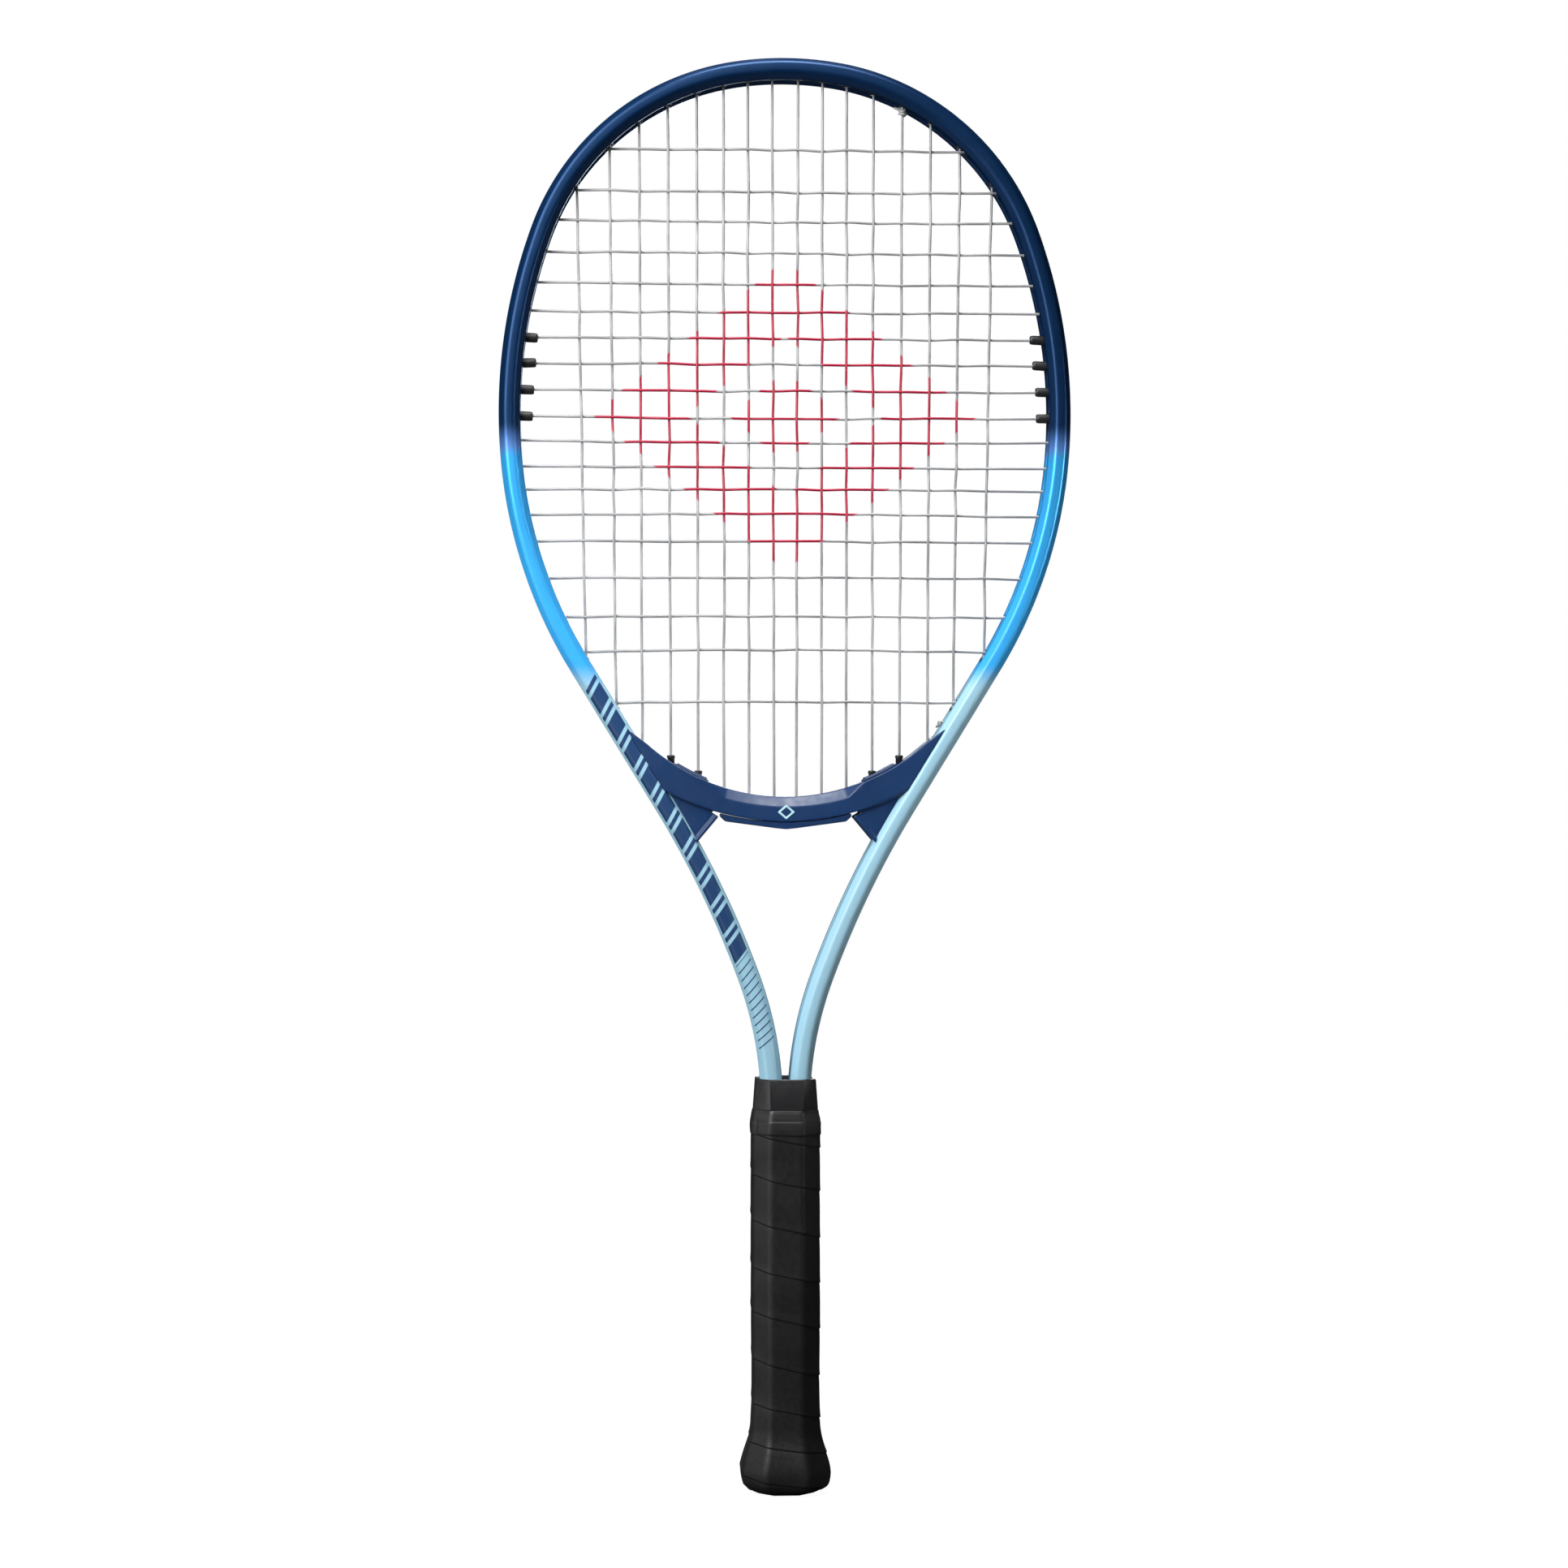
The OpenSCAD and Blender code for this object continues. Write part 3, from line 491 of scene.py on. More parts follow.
# ---- Frame tube ----------------------------------------------------------------------------
def tube_section():
    """Section of the tube: (out from the centreline, towards the front)."""
    w, d, cut = HALF_WIDTH, HALF_DEPTH, 4.0
    corners = [(-w, d - cut), (-w + 3, d), (w - 2.7, d), (w, d - cut), (w, 4.8), (GROOVE, 3.8),
               (GROOVE, -3.8), (w, -4.8), (w, cut - d), (w - 2.7, -d), (-w + 3, -d),
               (-w, cut - d), (-w, -5.2), (WALL, -3.8), (WALL, 3.8), (-w, 5.2)]
    radii = [1.8, 2.8, 2.8, 1.8, 0.45, 0.5, 0.5, 0.45, 1.8, 2.8, 2.8, 1.8, 0.9, 0.9, 0.9, 0.9]
    return rounded_outline(corners, radii, 5)


def ring_at(side, i, section):
    """A section placed square to the centreline, at point i of one half."""
    base = line_points[i]
    outward = -inward(line_headings[i])
    return [(side * (base[0] + u * outward[0]), -v, base[1] + u * outward[1]) for u, v in section]


def frame_tube():
    """The painted tube, with each point's place on the tube kept for its paint."""
    section = tube_section()
    order = [(-1, i) for i in range(len(line_points) - 1, 0, -1)]
    order += [(1, i) for i in range(len(line_points))]
    points, faces = closed_sweep([ring_at(side, i, section) for side, i in order])
    obj = new_object("frame_tube_painted", points, faces, PAINT)
    run = [side * line_run[i] for side, i in order for _ in section]
    across = list(section[:, 0]) * len(order)
    deep = list(section[:, 1]) * len(order)
    for name, values in (("run", run), ("across", across), ("deep", deep)):
        layer = obj.data.attributes.new(name, "FLOAT", "POINT")
        # The last two points are the middles of the closed ends
        layer.data.foreach_set("value", np.array(values + [0, 0], float))
    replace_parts(obj, "frame_tube")


frame_tube()


# ---- Strings -------------------------------------------------------------------------------
STRING_D = 1.3
# How far each string lies off the middle plane where two of them cross
WEAVE = STRING_D / 2 + 0.02
# Distances of the mains of one half from the middle, at two heights: in the head and the throat
MAIN_HEAD = [6.1, 18, 29.8, 42.7, 56.6, 70.4, 84.5, 100.3]
MAIN_THROAT = [5.5, 17.6, 29.6, 42.2, 55.5, 69.2, 81.8, 96.2]
MAIN_HEAD_Z, MAIN_THROAT_Z = top_z - 67, top_z - 293
# Drop of each cross below the top of the centreline, and which of them carry sleeves
CROSS_DROP = [38.4, 58.2, 72.7, 88.2, 103, 116.6, 129.5, 142, 154.7, 167.4, 179.1, 191.7, 202.9,
              215.1, 227.9, 245.7, 264.2, 281.2, 305.5]
SLEEVED = range(6, 10)
# Where a string runs in the outer groove: out from the centreline, and off the groove's middle
LOOP_OUT = GROOVE + 0.85 + STRING_D / 2
LOOP_SIDE = 1.6
# The bridge: radius, top and half width of the arc on its head side, the slope of the straight
# wings beyond that, its height in the middle, the radius of its underside and the depth of the
# string slot in there
BRIDGE_R = 101
bridge_top_z = top_z - 350.9
BRIDGE_REACH = 53.7
WING_SLOPE = 0.75
BRIDGE_TALL = 12
UNDER_R = 122
SLOT_DEEP = 2


def bridge_upper(x):
    """Height of the bridge's head side: an arc, then straight wings."""
    edge = min(abs(x), BRIDGE_REACH)
    arc = BRIDGE_R - math.sqrt(BRIDGE_R ** 2 - edge ** 2)
    return bridge_top_z + arc + (abs(x) - edge) * WING_SLOPE


def bridge_slot(x):
    """Height of a string that lies in the slot under the bridge."""
    radius = UNDER_R - SLOT_DEEP - 0.1 - STRING_D / 2
    return bridge_top_z - BRIDGE_TALL + UNDER_R - math.sqrt(radius ** 2 - x ** 2)


def main_x(i, z):
    """Distance of main i from the middle, at height z."""
    t = (z - MAIN_THROAT_Z) / (MAIN_HEAD_Z - MAIN_THROAT_Z)
    return MAIN_THROAT[i] + (MAIN_HEAD[i] - MAIN_THROAT[i]) * t


def cross_z(k):
    return top_z - CROSS_DROP[k]


MAINS, CROSSES = len(MAIN_HEAD), len(CROSS_DROP)
head_wall = [head_z(MAIN_HEAD[i], WALL) for i in range(MAINS)]
foot_wall = [bridge_upper(MAIN_THROAT[i]) if i < 6 else foot_z(MAIN_THROAT[i], WALL)
             for i in range(MAINS)]
# Hand-strung strings are never quite straight: each crossing is a little off its place, the
# upper crosses sag and the lower ones arch
cross_off = rng.normal(0, 0.18, (CROSSES, 2, MAINS))
main_off = rng.normal(0, 0.14, (2, MAINS, CROSSES))
bow = rng.normal(0, 0.3, CROSSES) + np.where(np.arange(CROSSES) < 12, -0.3, 0.9)


def crosses_main(i, k):
    return foot_wall[i] + 1 < cross_z(k) < head_wall[i] - 1


def over(i, k):
    """How far main i lies behind the middle plane where it meets cross k."""
    return WEAVE if (i + k) % 2 == 0 else -WEAVE


def crossing(side, i, k):
    """Where main i of a side meets cross k: side 0 is the left."""
    sign = 1 if side else -1
    x = sign * main_x(i, cross_z(k)) + main_off[side][i][k]
    arch = bow[k] * (1 - (x / side_x(cross_z(k), WALL)) ** 2)
    return x, sign * over(i, k), cross_z(k) + arch + cross_off[k][side][i]


def woven(points):
    """Fills in a path so that it rolls smoothly over and under between its crossings."""
    out = []
    for a, b in zip(points[:-1], points[1:]):
        a, b = np.array(a), np.array(b)
        for t in (0, 0.2, 0.4, 0.6, 0.8):
            ease = (1 - math.cos(math.pi * t)) / 2
            p = a + (b - a) * t
            p[1] = a[1] + (b[1] - a[1]) * ease
            out.append(p)
    out.append(np.array(points[-1]))
    return out


def turn_z(i, x):
    """Height at which main i turns round at its lower end."""
    return bridge_slot(x) if i < 5 else foot_z(x, LOOP_OUT)


def main_down(side, i):
    """Path of main i from the head to the throat."""
    sign = 1 if side else -1
    top = main_x(i, head_wall[i])
    foot = main_x(i, foot_wall[i])
    points = [(sign * top, 0, head_z(top, GROOVE)), (sign * top, 0, head_wall[i] - 0.5)]
    points += [crossing(side, i, k) for k in range(CROSSES) if crosses_main(i, k)]
    points += [(sign * foot, 0, foot_wall[i] + 0.5),
               (sign * foot, 0, turn_z(i, foot) + (1.6 if i < 5 else 2.6))]
    return woven(points)


def head_loop(side, i):
    """Path in the outer groove from main i to the next, over the head."""
    sign = 1 if side else -1
    a, b = main_x(i, head_wall[i]), main_x(i + 1, head_wall[i + 1])
    out = []
    for t in (0.06, 0.2, 0.35, 0.5, 0.65, 0.8, 0.94):
        x = a + (b - a) * t
        y = sign * (LOOP_SIDE / 2 if t < 0.1 or t > 0.9 else LOOP_SIDE)
        out.append((sign * x, y, head_z(x, LOOP_OUT)))
    return out


def throat_loop(side, i):
    """Path from main i to the next, under the bridge or in the groove of the arm."""
    sign = 1 if side else -1
    a, b = main_x(i, foot_wall[i]), main_x(i + 1, foot_wall[i + 1])
    places = [a + (b - a) * t for t in (0.06, 0.35, 0.65, 0.94)]
    return [(sign * x, 0, turn_z(i, x)) for x in places]


def side_loop(k, sign):
    """Path in the outer groove from cross k to the next, down one side."""
    out = []
    for t in (0.06, 0.25, 0.5, 0.75, 0.94):
        z = cross_z(k) + (cross_z(k + 1) - cross_z(k)) * t
        y = -LOOP_SIDE / 2 if t < 0.1 or t > 0.9 else -LOOP_SIDE
        out.append((sign * side_x(z, LOOP_OUT), y, z))
    return out


def string_mesh(name, path, node, sides=10):
    """A round string along a path that never runs along Y."""
    path = np.array(path, float)
    apart = np.linalg.norm(np.diff(path, axis=0), axis=1) > 1e-4
    path = path[np.concatenate([[True], apart])]
    steps = np.diff(path, axis=0) * [1, 0, 1]
    steps /= np.linalg.norm(steps, axis=1)[:, None]
    before = np.vstack([steps[:1], steps])
    after = np.vstack([steps, steps[-1:]])
    middle = before + after
    middle /= np.maximum(np.linalg.norm(middle, axis=1), 1e-6)[:, None]
    widen = 1 / np.maximum(np.sum(middle * after, axis=1), 0.7)
    side = np.stack([middle[:, 2], middle[:, 1], -middle[:, 0]], axis=1) * widen[:, None]
    angles = np.linspace(0, 2 * math.pi, sides, endpoint=False)[None, :, None]
    offsets = np.cos(angles) * side[:, None, :] + np.sin(angles) * np.array([0, 1, 0])
    rings = path[:, None, :] + STRING_D / 2 * offsets
    points, faces = closed_sweep(rings)
    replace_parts(new_object(name, points, faces, STRING), node)


def half_main_path(side):
    """The mains of one half as one continuous path, from the middle outwards."""
    sign = 1 if side else -1
    first = main_x(0, bridge_top_z)
    path = [(sign * t * first, 0, turn_z(0, t * first)) for t in (0, 0.5, 0.9)]
    for i in range(0, MAINS, 2):
        path += main_down(side, i)[::-1] + head_loop(side, i) + main_down(side, i + 1)
        if i + 2 < MAINS:
            path += throat_loop(side, i + 1)
    return path


def across_main(side, i, k):
    """The crossing as the cross string passes it, on the other face of the main."""
    x, y, z = crossing(side, i, k)
    return x, -y, z


def cross_path():
    """All the crosses as one continuous path, from the head down."""
    path = []
    for k in range(CROSSES):
        z = cross_z(k)
        end, wall = side_x(z, GROOVE), side_x(z, WALL) - 0.5
        met = [i for i in range(MAINS) if crosses_main(i, k)]
        line = [(-end, 0, z), (-wall, 0, z)]
        line += [across_main(0, i, k) for i in reversed(met)]
        line += [across_main(1, i, k) for i in met]
        line = woven(line + [(wall, 0, z), (end, 0, z)])
        path += line if k % 2 == 0 else line[::-1]
        if k + 1 < CROSSES:
            path += side_loop(k, 1 if k % 2 == 0 else -1)
    return path


string_mesh("main_strings_left", half_main_path(0), "main_strings")
string_mesh("main_strings_right", half_main_path(1), "main_strings")
string_mesh("cross_strings_woven", cross_path(), "cross_strings")


# ---- Knots ---------------------------------------------------------------------------------
def coil(centre, radius, turns, rise, axis_up, steps=14):
    """Points of a short coil; axis_up chooses a coil round Z or one round X."""
    out = []
    for t in np.linspace(0, turns, int(turns * steps) + 1):
        a = 2 * math.pi * t
        p = (radius * math.cos(a), radius * math.sin(a), rise * t)
        out.append(np.array(centre) + (p if axis_up else (p[2], p[1], p[0])))
    return out


def tube_along(name, path, radius, material, sides=10):
    """A round tube along any path, its rings kept from twisting."""
    path = np.array(path, float)
    tangents = np.gradient(path, axis=0)
    tangents /= np.linalg.norm(tangents, axis=1)[:, None]
    side = np.cross(tangents[0], [0.3, 0.2, 1.0])
    rings = []
    angles = np.linspace(0, 2 * math.pi, sides, endpoint=False)
    last = len(path) - 1
    for j, (p, t) in enumerate(zip(path, tangents)):
        side = side - t * (side @ t)
        side /= np.linalg.norm(side)
        other = np.cross(t, side)
        r = radius * (0.72 if j in (0, last) else 1)
        rings.append([p + r * (math.cos(a) * side + math.sin(a) * other) for a in angles])
    points, faces = closed_sweep(rings)
    return new_object(name, points, [f[::-1] for f in faces], material)


def upper_knot():
    """Tie-off round the fifth right main, close under the head."""
    z = head_z(MAIN_HEAD[4], -HALF_WIDTH) - 0.5
    x = main_x(4, z)
    path = [(x - 4.2, 1.0, z + 1.4), (x - 2.6, 0.6, z + 0.7)]
    path += coil((x, 0, z), STRING_D + 0.1, 2.2, -1.25, True)
    piece = tube_along("knot_upper", path, STRING_D / 2, STRING)
    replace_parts(piece, "tie_off_knots")


def lower_knot():
    """Tie-off on the inner wall of the right arm."""
    z = top_z - 315.6
    x = side_x(z, WALL) - 1.6
    path = [(x + 3.6, 0, z)]
    path += coil((x, 0, z), STRING_D * 0.75, 1.6, -1.15, False)
    path += [(x - 2.6, 0.4, z - 1.6)]
    piece = tube_along("knot_lower", path, STRING_D / 2, STRING)
    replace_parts(piece, "tie_off_knots")


upper_knot()
lower_knot()


# ---- Sleeves and grommets ------------------------------------------------------------------
def sleeves(side, node):
    """Four soft sleeves over the crosses on one side, each a little different."""
    bore = STRING_D / 2 + 0.25
    for k in SLEEVED:
        z = cross_z(k)
        start = side_x(z, WALL + 0.5)
        length = 8.0 + rng.uniform(-0.5, 0.5)
        tilt = rng.uniform(-0.06, 0.06)
        profile = [(bore, 0), (2.3, 0), (2.32, 1.5), (2.26, length - 1.4), (2.12, length - 0.5),
                   (1.75, length - 0.08), (1.3, length), (0.95, length - 0.2), (bore, length - 0.7)]
        place = facing((side * start, 0, z), (-side, 0, tilt))
        piece = lathe(f"{node}_{k}", profile, place, RUBBER)
        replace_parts(piece, node)


for side, word in HANDS:
    sleeves(side, f"shock_sleeves_{word}")


def bridge_grommet_pieces():
    """The four black barrels on the pads of the bridge."""
    bore = STRING_D / 2 + 0.25
    profile = [(bore, 0), (1.7, 0), (1.7, 7.9), (1.95, 8.2), (1.95, 9.0), (1.7, 9.4), (1.15, 9.5),
               (bore, 9.2)]
    for side, word in HANDS:
        for i in (3, 4):
            foot = main_x(i, bridge_top_z)
            lean = side * (main_x(i, MAIN_HEAD_Z) - foot) / (MAIN_HEAD_Z - bridge_top_z)
            place = facing((side * foot, 0, bridge_upper(foot) - 6), (lean, 0, 1))
            piece = lathe(f"bridge_grommet_{i}_{word}", profile, place, GROMMET)
            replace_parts(piece, "bridge_grommets")


bridge_grommet_pieces()


# Out from the centreline: underside of the grommet strips, and the inner ends of their barrels
STRIP_LOW = GROOVE + 0.05
BARREL_END = 0.8 - HALF_WIDTH


def strip_piece(name, node, runs, places):
    """A thin strip in the outer groove between two runs, with a low pad round each string."""
    half, low, thick = 3.3, STRIP_LOW, 0.7
    corners = [(low, -half), (low + thick, -half), (low + thick, half), (low, half)]
    outline = rounded_outline(corners, [0.1, 0.3, 0.3, 0.1], 3)
    rings = []
    for side, i in runs:
        near = min(abs(side * line_run[i] - place) for place in places)
        swell = 0.25 * math.exp(-(near / 2.6) ** 2)
        section = [(u + swell if u > low + 0.2 else u, v) for u, v in outline]
        rings.append(ring_at(side, i, section))
    points, faces = closed_sweep(rings)
    piece = new_object(name, points, faces, GROMMET)
    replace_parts(piece, node)


def run_at(x, z):
    """Run along the centreline of the point nearest to (x, z)."""
    return float(line_run[int(np.argmin(np.hypot(line_points[:, 0] - x, line_points[:, 1] - z)))])


def barrel(name, node, x, z, direction, length):
    """Grommet barrel from the strip to just inside the inner wall of the tube."""
    bore = STRING_D / 2 + 0.3
    profile = [(bore, 0), (1.7, 0), (1.7, length - 0.25), (1.5, length), (bore + 0.1, length)]
    piece = lathe(name, profile, facing((x, 0, z), direction), GROMMET, 20)
    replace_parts(piece, node)


def head_strip():
    """The strip over the head; returns the run at which it ends."""
    main_runs = [run_at(main_x(i, head_wall[i]), head_z(MAIN_HEAD[i], 0)) for i in range(MAINS)]
    end = main_runs[-1] + 5
    count = len(line_points)
    right = [(1, i) for i in range(count) if line_run[i] <= end]
    left = [(-1, i) for i in range(count - 1, 0, -1) if line_run[i] <= end]
    strip_piece("head_strip", "head_grommet_strip", left + right,
                [side * run for side in (-1, 1) for run in main_runs])
    return end


def side_strip(side, word, start):
    """The strip down one side, from a run to just below the last cross."""
    cross_runs = [run_at(side_x(cross_z(k), 0), cross_z(k)) for k in range(CROSSES)]
    end = cross_runs[-1] + 6
    runs = [(side, i) for i in range(len(line_points)) if start <= line_run[i] <= end]
    strip_piece(f"side_strip_{word}", f"side_grommet_strip_{word}", runs[::side],
                [side * run for run in cross_runs])


def barrels(side, word):
    """The barrels of one half: at the head, down the side and at the foot of the arm."""
    for i in range(MAINS):
        x = main_x(i, head_wall[i])
        z = head_z(x, STRIP_LOW)
        barrel(f"head_barrel_{i}_{word}", "head_grommet_strip", side * x, z, (0, 0, -1),
               z - head_z(x, BARREL_END))
    for k in range(CROSSES):
        if k not in SLEEVED:
            node = "head_grommet_strip" if k == 0 else f"side_grommet_strip_{word}"
            x = side_x(cross_z(k), STRIP_LOW)
            barrel(f"side_barrel_{k}_{word}", node, side * x, cross_z(k), (-side, 0, 0),
                   x - side_x(cross_z(k), BARREL_END))
    for i in range(5, MAINS):
        x = main_x(i, foot_wall[i])
        z = foot_z(x, STRIP_LOW)
        barrel(f"arm_barrel_{i}_{word}", "arm_grommets", side * x, z, (0, 0, 1),
               foot_z(x, BARREL_END) - z)


head_strip_end = head_strip()
for side, word in HANDS:
    side_strip(side, word, head_strip_end + 1.5)
    barrels(side, word)


# ---- Bridge --------------------------------------------------------------------------------
def paint(node, material):
    """Keeps a CAD node as it is, in one material."""
    obj = frame["nodes"][node]
    obj.data.materials.clear()
    obj.data.materials.append(material)
    return obj


def soften(node, material, voxel, rounds):
    """Keeps a CAD node and rounds its edges with modifiers."""
    obj = paint(node, material)
    remesh = obj.modifiers.new("round_edges", "REMESH")
    remesh.mode = "VOXEL"
    remesh.voxel_size = voxel * MM
    remesh.use_smooth_shade = True
    smooth = obj.modifiers.new("soften", "SMOOTH")
    smooth.factor = 0.5
    smooth.iterations = rounds


def bevel(node, material, width):
    """Keeps a CAD node with thin walls and rounds only its sharp edges."""
    obj = paint(node, material)
    joined = obj.modifiers.new("join_faces", "WELD")
    joined.merge_threshold = 0.01 * MM
    edges = obj.modifiers.new("round_edges", "BEVEL")
    edges.width = width * MM
    edges.segments = 3
    edges.limit_method = "ANGLE"
    edges.angle_limit = math.radians(20)
    edges.harden_normals = True
    for polygon in obj.data.polygons:
        polygon.use_smooth = True


soften("throat_bridge", BRIDGE, 0.45, 5)
soften("bridge_lower_strip", BRIDGE, 0.4, 4)
soften("bridge_pad_left", BRIDGE, 0.3, 4)
soften("bridge_pad_right", BRIDGE, 0.3, 4)
bevel("handle_collar", HARD_BLACK, 0.5)
soften("butt_cap", HARD_BLACK, 0.4, 4)
paint("bridge_rivets", ALLOY)
paint("handle_pallet_front", CORE)
paint("handle_pallet_back", CORE)
paint("butt_end_badge", BADGE)
paint("grip_staples", STEEL)


def bridge_mark():
    """Plain raised diamond ring on the front of the bridge."""
    z = bridge_top_z - 7.4
    base, rise = 9.85, 0.4
    wide, tall, line = 4.2, 3.6, 0.36
    corners = np.array([(1, 0), (0, 1), (-1, 0), (0, -1)])
    outer = rounded_outline(corners * (wide, tall), [0.5] * 4, 4)
    inner = rounded_outline(corners * (wide, tall) * (1 - line), [0.35] * 4, 4)
    steps = ((outer, 0), (outer, rise - 0.12), (outer * 0.97, rise), (inner * 1.04, rise),
             (inner, rise - 0.12), (inner, 0))
    rings = np.array([[(u, -(base + height), z + v) for u, v in loop] for loop, height in steps])
    faces = grid_faces(len(rings), rings.shape[1], wrap_rows=True)
    new_object("bridge_mark", rings.reshape(-1, 3), faces, MARK)


bridge_mark()


# ---- Handle --------------------------------------------------------------------------------
# Depth of the grip as a share of its width
GRIP_RATIO = 30.4 / 33.6
# Number of points round the handle, and how far round each one lies, in turns
SIDES = 200
TURNS = np.arange(SIDES) / SIDES
# Height of the upper edge of the tape, and of the grip that ends under it
TAPE_TOP = 185.2
GRIP_TOP = 173.0
# Height and width of the wound grip, from the rolled lower edge to where it meets the tape
FLARE = [(2.2, 36.4), (3.4, 39.6), (5, 41.7), (7.5, 43.0), (11, 43.6), (15, 42.3), (19, 40.1),
         (23, 37.6), (27, 35.4), (31, 34.0), (36, 33.5), (90, 33.4), (GRIP_TOP, 33.4)]
# Heights at which the edge of the wound strip passes the left side
SEAMS = [-5.5, 12, 27.8, 46.5, 68.6, 91.4, 112.4, 135.6, 157.2, 176.8, 198]


def octagon_ring(width, radius=4.5):
    """Even points and their normals round a rounded octagon, from the left through the front."""
    w, d = width, width * GRIP_RATIO
    fx, fy = 0.238 * w, 0.23 * d
    corners = [(-w / 2, fy), (-w / 2, -fy), (-fx, -d / 2), (fx, -d / 2), (w / 2, -fy), (w / 2, fy),
               (fx, d / 2), (-fx, d / 2)]
    outline = rounded_outline(corners, [radius] * 8, 6)
    outline = np.vstack([outline, outline[:1]])
    run = np.concatenate([[0], np.cumsum(np.linalg.norm(np.diff(outline, axis=0), axis=1))])
    at = TURNS * run[-1]
    ring = np.stack([np.interp(at, run, outline[:, 0]), np.interp(at, run, outline[:, 1])], axis=1)
    ahead, behind = np.roll(ring, -1, axis=0), np.roll(ring, 1, axis=0)
    tangent = ahead - behind
    tangent /= np.linalg.norm(tangent, axis=1)[:, None]
    return ring, np.stack([tangent[:, 1], -tangent[:, 0]], axis=1)


def octagon_at(widths):
    """Points and normals for rows of widths, blended between octagons 0.5 mm apart."""
    low, step = 30.0, 0.5
    table = [octagon_ring(low + step * n) for n in range(30)]
    rings = np.array([ring for ring, _ in table])
    normals = np.array([normal for _, normal in table])
    place = (widths - low) / step
    index = np.clip(place.astype(int), 0, len(table) - 2)
    share = (place - index)[..., None]
    columns = np.arange(SIDES)
    return (rings[index, columns] * (1 - share) + rings[index + 1, columns] * share,
            normals[index, columns] * (1 - share) + normals[index + 1, columns] * share)


def smooth_profile(table, z):
    """Value of a table of (height, value), joined by a smooth curve."""
    heights, values = np.array(table).T
    slopes = np.gradient(values, heights)
    i = np.clip(np.searchsorted(heights, z) - 1, 0, len(heights) - 2)
    span = heights[i + 1] - heights[i]
    t = np.clip((z - heights[i]) / span, 0, 1)
    return ((2 * t ** 3 - 3 * t ** 2 + 1) * values[i] + (t ** 3 - 2 * t ** 2 + t) * span * slopes[i]
            + (3 * t ** 2 - 2 * t ** 3) * values[i + 1] + (t ** 3 - t ** 2) * span * slopes[i + 1])


def waves(turn, seed_row):
    """A smooth closed wobble round the handle."""
    return sum(a * math.sin(2 * math.pi * (n + 1) * turn + p) for n, (a, p) in enumerate(seed_row))


def strip_rows():
    """Rows of each turn of the strip: (turn, height above its lower edge, height of the turn)."""
    low_rows = [0, 0.25, 0.5, 0.8, 1.2, 1.8, 2.6, 3.6, 5, 7, 9.5, 12]
    high_rows = [0.12, 0.4, 0.9, 1.6, 2.8, 4.5, 7]
    rows = []
    for seam in range(len(SEAMS) - 1):
        gap = SEAMS[seam + 1] - SEAMS[seam]
        offsets = {0.001, 0.12}
        offsets |= {row for row in low_rows if row < gap / 2 + 2}
        offsets |= {gap - row for row in high_rows if gap - row > gap / 2 + 2}
        rows += [(seam, offset, gap) for offset in sorted(offsets)]
    return rows


def strip_ring(seam, offset, gap, wobble):
    """Height and padding of one row of the strip, all round the handle."""
    gap_below = SEAMS[seam] - SEAMS[seam - 1] if seam else gap
    share = offset / gap
    lap = 0.46 * math.exp(-offset / 2.6) * (1 - math.exp(-offset / 0.22))
    ring = []
    for turn in TURNS:
        start = SEAMS[seam] - gap_below * turn + waves(turn, wobble[seam]) * 0.8
        top = SEAMS[seam + 1] - gap * turn + waves(turn, wobble[seam + 1]) * 0.8
        left = (top - start) * (1 - share)
        pad = 0.14 * math.sin(math.pi * share) - 0.16 * math.exp(-left)
        ripple = 0.05 * math.sin(2 * math.pi * 5 * turn + seam)
        ring.append((start + (top - start) * share, lap + pad + ripple))
    return ring


def grip():
    """Padded strip wound up the handle; each turn laps over the one below."""
    wobble = [[(rng.uniform(0.1, 0.35) / (n + 1), rng.uniform(0, 6.28)) for n in range(3)]
              for _ in SEAMS]
    rings = [strip_ring(seam, offset, gap, wobble) for seam, offset, gap in strip_rows()]
    z_low, z_high = FLARE[0][0], GRIP_TOP + 1.5
    heights, outs = np.moveaxis(np.array(rings), 2, 0)
    heights = np.clip(heights, z_low, z_high)
    base, normal = octagon_at(smooth_profile(FLARE, np.minimum(heights, GRIP_TOP)) - 0.5)
    flat = base + normal * (outs * smoothstep(z_low, z_low + 3, heights))[..., None]
    points = list(np.concatenate([flat, heights[..., None]], axis=2).reshape(-1, 3))
    inner_rows = [(z_high, 30.4), (34, 30.4), (30, 31.2), (23, 34.6), (15, 39.2), (11, 40.4),
                  (6, 39.4), (z_low, 34.6)]
    for z, width in inner_rows:
        points += [(x, y, z) for x, y in octagon_ring(width)[0]]
    faces = grid_faces(len(rings) + len(inner_rows), SIDES, wrap_rows=True)
    piece = new_object("grip_wound", points, faces, GRIP)
    clean(piece)
    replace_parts(piece, "grip_wrap")


grip()


